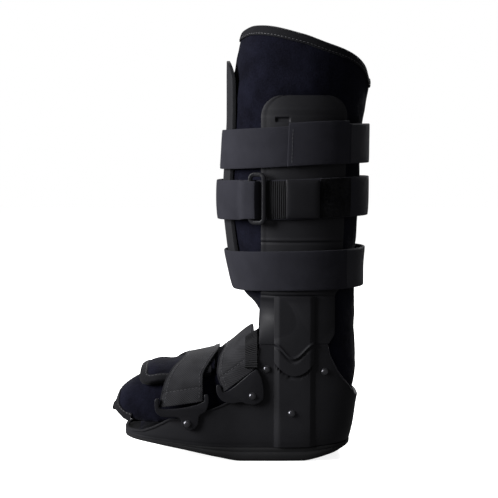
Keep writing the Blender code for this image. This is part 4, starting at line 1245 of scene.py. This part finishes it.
def make_buckle(finish):
    """Rectangular ring with round corners that the middle strap is folded over."""
    radius = BUCKLE_BAR / 2
    left = BUCKLE_FRONT + radius
    right = BUCKLE_FRONT + BUCKLE_LENGTH - radius
    low = MIDDLE_STRAP_HEIGHT - BUCKLE_HEIGHT / 2 + radius
    high = MIDDLE_STRAP_HEIGHT + BUCKLE_HEIGHT / 2 + radius
    corner = BUCKLE_BAR
    path = []
    for centre_x, centre_z, start in ((right - corner, high - corner, 0), (left + corner, high - corner, 90),
                                      (left + corner, low + corner, 180), (right - corner, low + corner, 270)):
        for k in range(BUCKLE_CORNER_STEPS + 1):
            a = math.radians(start + 90.0 * k / BUCKLE_CORNER_STEPS)
            path.append((centre_x + corner * math.cos(a), centre_z + corner * math.sin(a)))
    reach = leg_side(left, MIDDLE_STRAP_HEIGHT, STRAP_OFFSET + STRAP_WALL + FIT + radius)
    slope = leg_side(right, MIDDLE_STRAP_HEIGHT, STRAP_OFFSET + STRAP_WALL + FIT + radius) - reach
    builder = bmesh.new()
    rings = []
    count = len(path)
    for k, (x, z) in enumerate(path):
        before, after = path[k - 1], path[(k + 1) % count]
        ahead = Vector((after[0] - before[0], 0.0, after[1] - before[1])).normalized()
        aside = Vector((ahead.z, 0.0, -ahead.x))
        y = -(reach + slope * (x - left) / (right - left) + BUCKLE_EASE)
        ring = []
        for i in range(BUCKLE_SIDES):
            a = turn(i / BUCKLE_SIDES)
            wide = signed_power(math.cos(a), BUCKLE_SQUARE) * radius
            deep = signed_power(math.sin(a), BUCKLE_SQUARE) * radius * BUCKLE_FLAT
            ring.append(Vector((x, y, z)) + aside * wide + Vector((0.0, -1.0, 0.0)) * deep)
        rings.append(ring)
    ring_surface(builder, rings + [rings[0]])
    bmesh.ops.remove_doubles(builder, verts=builder.verts, dist=1e-6)
    return dress(piece_from(builder, "buckle_looks"), finish, "buckle_plastic", "buckle_ring")


def make_keeper(finish):
    """Smooth moulded plate on the middle strap, softly crowned with a turned-down edge."""
    def face(lift):
        def surface(across, along):
            x = KEEPER_FRONT + KEEPER_LENGTH * across
            z = MIDDLE_STRAP_HEIGHT + MIDDLE_STRAP_RISE / 2 + KEEPER_HEIGHT * (along - 0.5)
            edge = max(abs(2 * across - 1) ** 8, abs(2 * along - 1) ** 8)
            rise = lift * (1.0 - KEEPER_EDGE * edge) + (KEEPER_CROWN * (1 - (2 * along - 1) ** 2) if lift else 0.0)
            return Vector((x, -leg_side(x, z, STRAP_OFFSET + STRAP_WALL + FIT + rise), z))
        return surface

    keeper = sheet_mesh(face(0.0), face(KEEPER_WALL), *KEEPER_GRID, "keeper_looks", bevel=KEEPER_ROUND)
    return dress(keeper, finish, "buckle_plastic", "strap_keeper")


# Scene: the foot straps, their brackets and the rivets
def foot_strap_at(edges, foot, lifts):
    """Surface of a foot strap: share from the near end to the far end, share from front to back, and lift."""
    table = Table(edges, ("rise", "front", "back"))

    def at(across, along, lift):
        start_x = SOLE_LENGTH * lerp(edges[0][1], edges[0][2], along)
        start_z = SHELL_TOP * lerp(foot[0], foot[1], along)
        low = foot_angle(start_x, start_z, lifts[0] + lift)
        angle = lerp(low, math.pi - low, across)
        rise = (math.sin(angle) - math.sin(low)) / (1.0 - math.sin(low))
        x = SOLE_LENGTH * lerp(table.at(rise, "front"), table.at(rise, "back"), along)
        offset = lerp(lifts[0], lifts[1], math.sin(angle) ** 2) + lift
        return foot_point(x, angle, offset)
    return at


def make_foot_strap(label, edges, foot, lifts, finishes):
    """A foot strap of coarse webbing with a bound front edge, and the seams that close its two loops."""
    at = foot_strap_at(edges, foot, lifts)
    length = sum((at((i + 1) / 60, 0.5, 0.0) - at(i / 60, 0.5, 0.0)).length for i in range(60))
    width = (at(0.5, 1.0, 0.0) - at(0.5, 0.0, 0.0)).length

    def outer(across, along):
        crown = FOOT_STRAP_CROWN * (1.0 - abs(2 * along - 1) ** 6)
        dip = FOOT_STRAP_SEAM_DIP * hump(min(across, 1 - across) * length, FOOT_SEAM_PLACE, FOOT_SEAM_WIDTH)
        ripple = FOOT_STRAP_RIPPLE * noise.noise(Vector((across * 5.0, along * 2.0, 3.0)))
        return at(across, along, STRAP_WALL + crown - dip + ripple)

    inner = functools.partial(at, lift=0.0)
    strap = sheet_mesh(inner, outer, *FOOT_STRAP_GRID, "strap", scale=(length, width), bevel=STRAP_ROUND)
    strap_name = "foot_strap_" + label
    dress(strap, finishes["foot_web"], "foot_strap_web", strap_name)
    strap.name = strap_name + "_looks"

    inset = FOOT_SEAM_PLACE / length
    long_seams = [[(0.02 + 0.96 * i / 80, along) for i in range(81)] for along in (0.09, 0.91)]
    end_seams = [[(end, 0.06 + 0.88 * i / 30) for i in range(31)] for end in (inset, 1 - inset)]
    pieces = [stitches("stitch", at, places, STRAP_WALL + crown, STRAP_WALL + 0.002)
              for seams, crown in ((long_seams, FOOT_STRAP_CROWN), (end_seams, FOOT_STRAP_CROWN * 0.4))
              for places in seams]
    dress(join(pieces, strap_name + "_stitches"), finishes["thread"], "foot_strap_web")

    path = [at(i / 90, 0.0, STRAP_WALL * 0.5) for i in range(91)]
    piping = tube(strap_name + "_piping", path, PIPING_RADIUS, 10)
    dress(piping, finishes["tape"], "foot_strap_web")


def tube(name, path, radius, sides):
    """A closed tube of one radius along a path."""
    builder = bmesh.new()
    rings = []
    for k, point in enumerate(path):
        ahead = (path[min(k + 1, len(path) - 1)] - path[max(k - 1, 0)]).normalized()
        aside = ahead.cross(Vector((0.0, 0.0, 1.0))).normalized()
        rise = aside.cross(ahead).normalized()
        angles = [turn(i / sides) for i in range(sides)]
        rings.append([point + aside * (radius * math.cos(a)) + rise * (radius * math.sin(a)) for a in angles])
    capped_rings(builder, rings)
    return piece_from(builder, name)


def make_tab(finish):
    """Ribbed dark tail of the rear foot strap, folded back over its near end."""
    def face(offset):
        def surface(across, along):
            x = lerp(TAB_FRONT, TAB_BACK, along)
            low = foot_angle(x, SHELL_TOP * TAB_FOOT, REAR_STRAP_LIFTS[0] + STRAP_WALL)
            angle = lerp(low, math.radians(TAB_TOP_ANGLE), across)
            rib = TAB_RIB * math.sin(turn(across * TAB_RIBS)) if offset > FIT else 0.0
            strap = lerp(REAR_STRAP_LIFTS[0], REAR_STRAP_LIFTS[1], math.sin(angle) ** 2) + STRAP_WALL
            return foot_point(x, angle, strap + offset + rib)
        return surface

    tab = sheet_mesh(face(FIT), face(FIT + STRAP_WALL), *TAB_GRID, "tab_looks",
                     scale=(TAB_LENGTH, TAB_BACK - TAB_FRONT), bevel=STRAP_ROUND)
    dress(tab, finish, "rough_loop", "strap_tab")


def smooth_outline(points, steps):
    """A closed outline rounded by a curve through its points."""
    count = len(points)
    made = []
    for i in range(count):
        p0, p1, p2, p3 = (Vector(points[(i + k) % count]) for k in (-1, 0, 1, 2))
        d1 = max(1e-6, (p1 - p0).length) ** 0.5
        d2 = max(1e-6, (p2 - p1).length) ** 0.5
        d3 = max(1e-6, (p3 - p2).length) ** 0.5
        m1 = (p2 - p1) + d2 * ((p1 - p0) / d1 - (p2 - p0) / (d1 + d2))
        m2 = (p2 - p1) + d2 * ((p3 - p2) / d3 - (p3 - p1) / (d2 + d3))
        for k in range(steps):
            t = k / steps
            made.append((2 * t ** 3 - 3 * t * t + 1) * p1 + (t ** 3 - 2 * t * t + t) * m1
                        + (-2 * t ** 3 + 3 * t * t) * p2 + (t ** 3 - t * t) * m2)
    return made


def bracket_outline(rows, edges, foot):
    """Side outline of a bracket, whose top edge follows the lower end of its strap."""
    points = side_outline(rows)
    back = (SOLE_LENGTH * edges[0][2] + GAP, SHELL_TOP * foot[1] - GAP)
    front = (SOLE_LENGTH * edges[0][1] - GAP, SHELL_TOP * foot[0] - GAP)
    return points[:-2] + [back, front] + points[-2:]


def make_bracket(which, label, outline, side, finish):
    """Moulded plate with hooked ends outside the shell's wall, its edges well rounded."""
    widest = max(shell_side(x) for x, z in outline) + GAP
    rounded = smooth_outline(outline, BRACKET_STEPS)
    builder = bmesh.new()
    faces = (widest, widest + BRACKET_WALL)
    capped_rings(builder, [[Vector((x, side * y, z)) for x, z in rounded] for y in faces])
    bracket = piece_from(builder, "bracket_" + which + "_" + label + "_looks", 35.0)
    round_edges(bracket, BRACKET_ROUND, 4, 60.0)
    return dress(bracket, finish, "buckle_plastic", "bracket_" + which + "_" + label)


def wall_seat(x, z, side, lift):
    """Place and outward direction on the shell's wall."""
    height = (z - rocker(x, "top")) / (SHELL_TOP + SHELL_MARGIN - rocker(x, "top"))
    step = RIVET_RADIUS / 2
    ahead = shell_side(x + step, height=height)
    behind = shell_side(x - step, height=height)
    normal = Vector((-(ahead - behind) / (2 * step), side, 0.0)).normalized()
    return Vector((x, side * (shell_side(x, height=height) + lift), z)), normal


def make_rivet(name, seat, normal, finish):
    """Pressed rivet: a low collar under a smooth dome."""
    builder = bmesh.new()
    rings = []
    for radius, rise in RIVET_PROFILE:
        rings.append([Vector((RIVET_RADIUS * radius * math.cos(turn(i / RIVET_SIDES)),
                              RIVET_RADIUS * radius * math.sin(turn(i / RIVET_SIDES)),
                              RIVET_RISE * rise)) for i in range(RIVET_SIDES)])
    turned = normal.to_track_quat("Z", "Y").to_matrix().to_4x4()
    place = Matrix.Translation(seat + normal * FIT) @ turned
    capped_rings(builder, [[place @ point for point in ring] for ring in rings])
    return dress(piece_from(builder, name + "_looks", 40.0), finish, "rivet_metal", name)


def make_fastenings(plastic, metal):
    outlines = {
        "front": bracket_outline(FRONT_BRACKET_ROWS, FRONT_STRAP_EDGES, FRONT_STRAP_FOOT),
        "rear": bracket_outline(REAR_BRACKET_ROWS, REAR_STRAP_EDGES, REAR_STRAP_FOOT),
    }
    for label, side in (("near", NEAR), ("far", FAR)):
        for which, outline in outlines.items():
            make_bracket(which, label, outline, side, plastic)
        for rivet, place, height, carrier in RIVET_ROWS:
            x = SOLE_LENGTH * place
            z = SHELL_TOP * height
            seat, normal = wall_seat(x, z, side, CHANNEL_RISE if carrier == "channel" else 0.0)
            if carrier in outlines:
                widest = max(shell_side(px) for px, pz in outlines[carrier])
                seat = Vector((x, side * (widest + GAP + BRACKET_WALL), z))
                normal = Vector((0.0, side, 0.0))
            make_rivet("rivet_" + rivet + "_" + label, seat, normal, metal)


# Scene: the padded liner and the toe flaps
def join(objects, name):
    """Join meshes into the first object."""
    if len(objects) > 1:
        with bpy.context.temp_override(active_object=objects[0], selected_editable_objects=objects):
            bpy.ops.object.join()
    objects[0].name = name
    return objects[0]


def obstacles(names):
    """Search trees of the hard solids that a pad lies against."""
    trees = []
    for name in names:
        node = bpy.data.objects[name]
        corners = [node.matrix_world @ vertex.co for vertex in node.data.vertices]
        trees.append(BVHTree.FromPolygons(corners, [face.vertices[:] for face in node.data.polygons]))
    return trees


def swell(pad, voxel, pressure, cap, trees, still=None):
    """Remesh a pad, let cloth pressure swell it, and keep it clear of the hard solids round it."""
    modify(pad, "REMESH", mode="VOXEL", voxel_size=voxel)
    apply_modifiers(pad)
    rest = [vertex.co.copy() for vertex in pad.data.vertices]
    moved = rest
    moved = blown_up(pad, pressure)
    for vertex, start, end in zip(pad.data.vertices, rest, moved):
        step = end - start
        room = cap
        for tree in trees:
            hit = tree.find_nearest(start, cap + PAD_CLEARANCE)
            if hit[0] is not None:
                room = min(room, max(0.0, hit[3] - PAD_CLEARANCE))
        if still:
            room *= still(start)
        if step.length > room:
            step = step.normalized() * room if step.length > 1e-9 else Vector()
        vertex.co = start + step
    modify(pad, "SMOOTH", factor=0.5, iterations=3)
    modify(pad, "SUBSURF", levels=1, render_levels=1)
    return apply_modifiers(pad)


def blown_up(pad, pressure):
    """Places of a pad's points after cloth pressure has swollen it for some frames."""
    scene = bpy.context.scene
    scene.frame_set(1)
    cloth = modify(pad, "CLOTH")
    for key, value in CLOTH.items():
        setattr(cloth.settings, key, value)
    cloth.settings.uniform_pressure_force = pressure
    cloth.settings.effector_weights.gravity = 0.0
    cloth.point_cache.frame_start = 1
    cloth.point_cache.frame_end = CLOTH_FRAMES
    for step in range(1, CLOTH_FRAMES + 1):
        scene.frame_set(step)
    graph = bpy.context.evaluated_depsgraph_get()
    result = pad.evaluated_get(graph).to_mesh()
    moved = [vertex.co.copy() for vertex in result.vertices]
    pad.evaluated_get(graph).to_mesh_clear()
    pad.modifiers.remove(cloth)
    scene.frame_set(1)
    return moved


def copy_node(name, copy_name):
    """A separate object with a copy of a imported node's mesh."""
    made = add_object(copy_name, bpy.data.objects[name].data.copy())
    builder = bmesh.new()
    builder.from_mesh(made.data)
    bmesh.ops.remove_doubles(builder, verts=builder.verts, dist=1e-5)
    builder.to_mesh(made.data)
    builder.free()
    return made


def ruffle(pad, depth, scale, still=None):
    """Uneven soft surface: low dents and puckers from noise, along each point's normal."""
    rest = [(vertex.co.copy(), vertex.normal.copy()) for vertex in pad.data.vertices]
    moved = []
    for place, normal in rest:
        value = noise.fractal(place * scale, 0.6, 2.2, 3, noise_basis="PERLIN_ORIGINAL")
        moved.extend(place + normal * (depth * value * (still(place) if still else 1.0)))
    pad.data.vertices.foreach_set("co", moved)


def top_share(place):
    """0 at the liner's top edge and 1 well below it, where the fabric may swell."""
    return ease((liner_top(place.x) - place.z - 0.006) / 0.018)


def binding(name, at, path, inward, width, wall, closed=False):
    """Folded tape over an edge. Path and inward direction are in the surface's own coordinates, in metres."""
    profile = []
    for i in range(7):
        profile.append((width * (1 - i / 6), BINDING_LIFT * (1.0 + 0.6 * math.sin(math.pi * i / 6))))
    for i in range(1, 8):
        a = math.pi * i / 8
        half = wall / 2 + BINDING_LIFT
        profile.append((-BINDING_NOSE * math.sin(a), -wall / 2 + half * math.cos(a)))
    for i in range(7):
        profile.append((width * i / 6, -wall - BINDING_LIFT))
    rows = len(profile) - 1
    count = len(path) if closed else len(path) - 1

    def layer(shrink):
        def surface(across, along):
            k = round(across * count) % len(path)
            u, v = path[k]
            du, dv = inward[k]
            depth, rise = profile[round(along * rows)]
            middle = -wall / 2
            depth += shrink if depth <= 0.0 else 0.0
            rise = middle + (rise - middle) * (1.0 - shrink / (wall / 2 + BINDING_LIFT))
            return at(u + du * depth, v + dv * depth, rise)
        return surface

    length = sum(math.dist(a, b) for a, b in zip(path, path[1:]))
    size = (length, 2 * width + wall)
    return sheet_mesh(layer(BINDING_WALL), layer(0.0), count, rows, name, loop=closed, scale=size, bevel=0.0)


def liner_edge(u, v, lift):
    """Point on the liner's leg: distance round it at the calf's radius, height, and lift off its face."""
    return leg_point(u / CALF_RADIUS, v, lift)


def fill_instep(pad):
    """Press the padding up between the two foot straps."""
    for vertex in pad.data.vertices:
        high = ease((vertex.co.z - 0.070) / 0.020)
        vertex.co.z += INSTEP_FILL * high * hump(vertex.co.x, INSTEP_FILL_PLACE, INSTEP_FILL_WIDTH)


def make_liner(finish, tape, thread):
    """Padded boot liner swollen between what holds it, with a bound and stitched top edge."""
    pad = copy_node("liner", "liner_looks")
    hard = obstacles(("shell_base", "upright_near", "upright_far", "front_panel", "strap_upper", "strap_middle",
                      "strap_lower", "foot_strap_front", "foot_strap_rear", "strap_tab", "toe_flap_lower"))
    swell(pad, LINER_VOXEL, LINER_PRESSURE, LINER_SWELL, hard, top_share)
    ruffle(pad, LINER_RUFFLE, 26.0, top_share)
    fill_instep(pad)
    dress(pad, finish, "liner_fabric", "liner")

    path = []
    for k in range(TOP_EDGE_STEPS):
        angle = turn(k / TOP_EDGE_STEPS)
        z = BOOT_HEIGHT
        for _ in range(LEAN_STEPS):
            z = liner_top(leg_point(angle, z, 0.0).x)
        path.append((angle * CALF_RADIUS, z))
    inward = [(0.0, -1.0)] * len(path)
    trim = binding("liner_trim", liner_edge, path, inward, TRIM_WIDTH, LINER_WALL, closed=True)
    dress(trim, tape, "liner_fabric")
    seam = [(u, v - TRIM_WIDTH + 0.0018) for u, v in path]
    dress(stitches("liner_trim_stitches", liner_edge, seam, BINDING_LIFT * 1.3), thread, "liner_fabric")


def flap_point(lifts, angles, curl):
    """Surface of a toe flap: distance round the foot, place along it, and lift off its face."""
    def at(u, v, lift):
        angle = u / FLAP_RADIUS
        across = (angle - math.radians(angles[0])) / math.radians(angles[1] - angles[0])
        offset = lerp(*lifts, clamp(across / FLAP_RUN)) + curl * ease((FLAP_CURL_START - v) / FLAP_CURL_RUN)
        return foot_point(v, angle, offset + lift)
    return at


def make_flap(label, angles, lifts, tip, rear_tip, curl, finish, tape, thread):
    """A toe flap: a padded sheet over the toes, sewn in under the liner, its free edges bound with tape."""
    at = flap_point(lifts, angles, curl)
    start = math.radians(angles[0]) * FLAP_RADIUS
    end = math.radians(angles[1]) * FLAP_RADIUS
    way = 1.0 if end > start else -1.0

    def front(across):
        """Front edge, drawn back at its foot and rounded into its free side."""
        drawn = lerp(rear_tip, tip, math.sqrt(1.0 - (1.0 - clamp(across / FLAP_ROUND_RUN)) ** 2))
        return drawn + corner_tuck(across * abs(end - start), abs(end - start), FLAP_CORNER)

    def face(sink):
        def surface(across, along):
            eased = across if across < 0.8 else 0.8 + 0.2 * math.sin(math.pi / 2 * (across - 0.8) / 0.2)
            x = lerp(FOOT_START + FLAP_ROOT, front(eased), along)
            return at(lerp(start, end, eased), x, -sink)
        return surface

    flap = sheet_mesh(face(FLAP_WALL - FLAP_SINK), face(FLAP_SINK), *FLAP_GRID, label + "_looks", bevel=0.0)
    hard = obstacles(("foot_strap_front", "shell_base", "liner"))
    swell(flap, FLAP_VOXEL, FLAP_PRESSURE, FLAP_SWELL, hard)
    ruffle(flap, FLAP_RUFFLE, 34.0)
    dress(flap, finish, "liner_fabric", label)

    path = []
    inward = []
    for k in range(FLAP_EDGE_STEPS + 1):
        across = math.sin(math.pi / 2 * k / FLAP_EDGE_STEPS)
        path.append((lerp(start, end, across), front(across)))
    for k in range(1, FLAP_SIDE_STEPS + 1):
        path.append((end, lerp(front(1.0), FOOT_START - FIT, k / FLAP_SIDE_STEPS)))
    for before, after in zip(path[:1] + path[:-1], path[1:] + path[-1:]):
        du, dv = after[0] - before[0], after[1] - before[1]
        size = math.hypot(du, dv)
        inward.append((-dv / size * way, du / size * way))
    trim = binding(label + "_trim", at, path, inward, FLAP_TRIM_WIDTH, FLAP_WALL)
    dress(trim, tape, "liner_fabric")
    seam = [(u + du * (FLAP_TRIM_WIDTH - 0.0014), v + dv * (FLAP_TRIM_WIDTH - 0.0014))
            for (u, v), (du, dv) in zip(path, inward)]
    dress(stitches(label + "_stitches", at, seam, BINDING_LIFT * 1.3), thread, "liner_fabric")


# Scene: camera, floor and light
def make_camera():
    """A long lens at the height of the calf that looks a little down, as the photograph was taken."""
    lens = bpy.data.cameras.new("camera")
    lens.lens = CAMERA_LENS
    lens.sensor_width = CAMERA_SENSOR
    camera = add_object("camera", lens)
    camera.location = CAMERA_PLACE
    camera.rotation_euler = (math.radians(90.0 - CAMERA_PITCH), 0.0, 0.0)
    bpy.context.scene.camera = camera


def area_light(name, place, aim, size, power):
    light = bpy.data.lights.new(name, "AREA")
    light.shape = "RECTANGLE"
    light.size, light.size_y = size
    light.energy = power
    lamp = add_object(name, light)
    lamp.location = place
    lamp.rotation_euler = (Vector(aim) - Vector(place)).to_track_quat("-Z", "Y").to_euler()


def make_stage():
    """Pale floor, an even pale room and soft lights."""
    builder = bmesh.new()
    bmesh.ops.create_grid(builder, x_segments=1, y_segments=1, size=FLOOR_HALF)
    floor = piece_from(builder, "floor")
    floor.location.z = -FLOOR_GAP
    floor.visible_diffuse = False
    floor.visible_glossy = False
    surface = Finish("floor_paint", 0.9)
    surface.colours(surface.noise(3.0, 2.0), FLOOR_COLOUR, FLOOR_COLOUR)
    surface.constant(specular=0.0, glow=FLOOR_GLOW)
    surface.shader.inputs["Emission Color"].default_value = (1.0, 1.0, 1.0, 1.0)
    floor.data.materials.append(surface.material)

    world = bpy.data.worlds.new("room")
    world.use_nodes = True
    tree = world.node_tree
    back = tree.nodes["Background"]
    back.inputs["Color"].default_value = (1.0, 1.0, 1.0, 1.0)
    rays = tree.nodes.new("ShaderNodeLightPath")
    strength = tree.nodes.new("ShaderNodeMapRange")
    strength.inputs["To Min"].default_value = ROOM_LIGHT
    strength.inputs["To Max"].default_value = ROOM_SEEN
    tree.links.new(rays.outputs["Is Camera Ray"], strength.inputs["Value"])
    tree.links.new(strength.outputs["Result"], back.inputs["Strength"])
    bpy.context.scene.world = world
    for light in LIGHTS:
        area_light(*light)
    bpy.context.scene.view_settings.view_transform = "Standard"


def make_finishes():
    """Every finish of the boot, by name."""
    return {
        "shell": moulded("shell_plastic_looks", (0.0060, 0.0060, 0.0071), (0.0105, 0.0105, 0.0122),
                         0.54, 2600.0),
        "fittings": moulded("fittings_plastic_looks", (0.0055, 0.0055, 0.0066), (0.0095, 0.0095, 0.0110),
                            0.34, 3600.0),
        "rubber": rubber("sole_rubber_looks"),
        "liner": loop_fabric("liner_fabric_looks", (0.0009, 0.0009, 0.0024), (0.0034, 0.0036, 0.0076), 620.0),
        "rough": loop_fabric("rough_loop_looks", (0.0003, 0.0003, 0.0004), (0.0085, 0.0085, 0.0095), 420.0),
        "tape": webbing("tape_looks", (0.0016, 0.0016, 0.0024), (0.0042, 0.0042, 0.0055), 0.0009),
        "web": webbing("strap_web_looks", (0.0078, 0.0078, 0.0108), (0.0138, 0.0138, 0.0184), 0.0011),
        # A lighter copy of the strap webbing: its paler colour is painted sheen, standing in for light caught by
        # webbing that runs another way.
        "painted_sheen_web": webbing("painted_sheen_web_looks", (0.0130, 0.0130, 0.0160), (0.0250, 0.0250, 0.0295), 0.0013),
        "foot_web": webbing("foot_web_looks", (0.0026, 0.0026, 0.0032), (0.0215, 0.0215, 0.0240), 0.0020),
        "ribbed": webbing("ribbed_web_looks", (0.0030, 0.0030, 0.0036), (0.0085, 0.0085, 0.0095),
                          0.0011, 0.0021),
        "thread": thread("thread_looks"),
        "metal": bare_metal("rivet_metal_looks"),
    }


def main():
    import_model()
    make_camera()
    make_stage()
    finishes = make_finishes()
    make_outsole(finishes["rubber"])
    make_shell(finishes["shell"])
    for label, side in (("near", NEAR), ("far", FAR)):
        make_upright(label, side, finishes["shell"])
    make_front_panel(finishes["shell"])
    make_leg_straps(finishes)
    make_buckle(finishes["fittings"])
    make_keeper(finishes["fittings"])
    make_foot_strap("front", FRONT_STRAP_EDGES, FRONT_STRAP_FOOT, FRONT_STRAP_LIFTS, finishes)
    make_foot_strap("rear", REAR_STRAP_EDGES, REAR_STRAP_FOOT, REAR_STRAP_LIFTS, finishes)
    make_tab(finishes["ribbed"])
    make_fastenings(finishes["fittings"], finishes["metal"])
    make_liner(finishes["liner"], finishes["tape"], finishes["thread"])
    flap_finishes = (finishes["liner"], finishes["tape"], finishes["thread"])
    make_flap("toe_flap_lower", LOWER_FLAP_ANGLES, (0.0, 0.0), LOWER_FLAP_TIP, LOWER_FLAP_FOOT, 0.0,
              *flap_finishes)
    make_flap("toe_flap_upper", UPPER_FLAP_ANGLES, (0.0, FLAP_WALL + FIT), UPPER_FLAP_TIP, UPPER_FLAP_TIP,
              FLAP_CURL, *flap_finishes)


main()
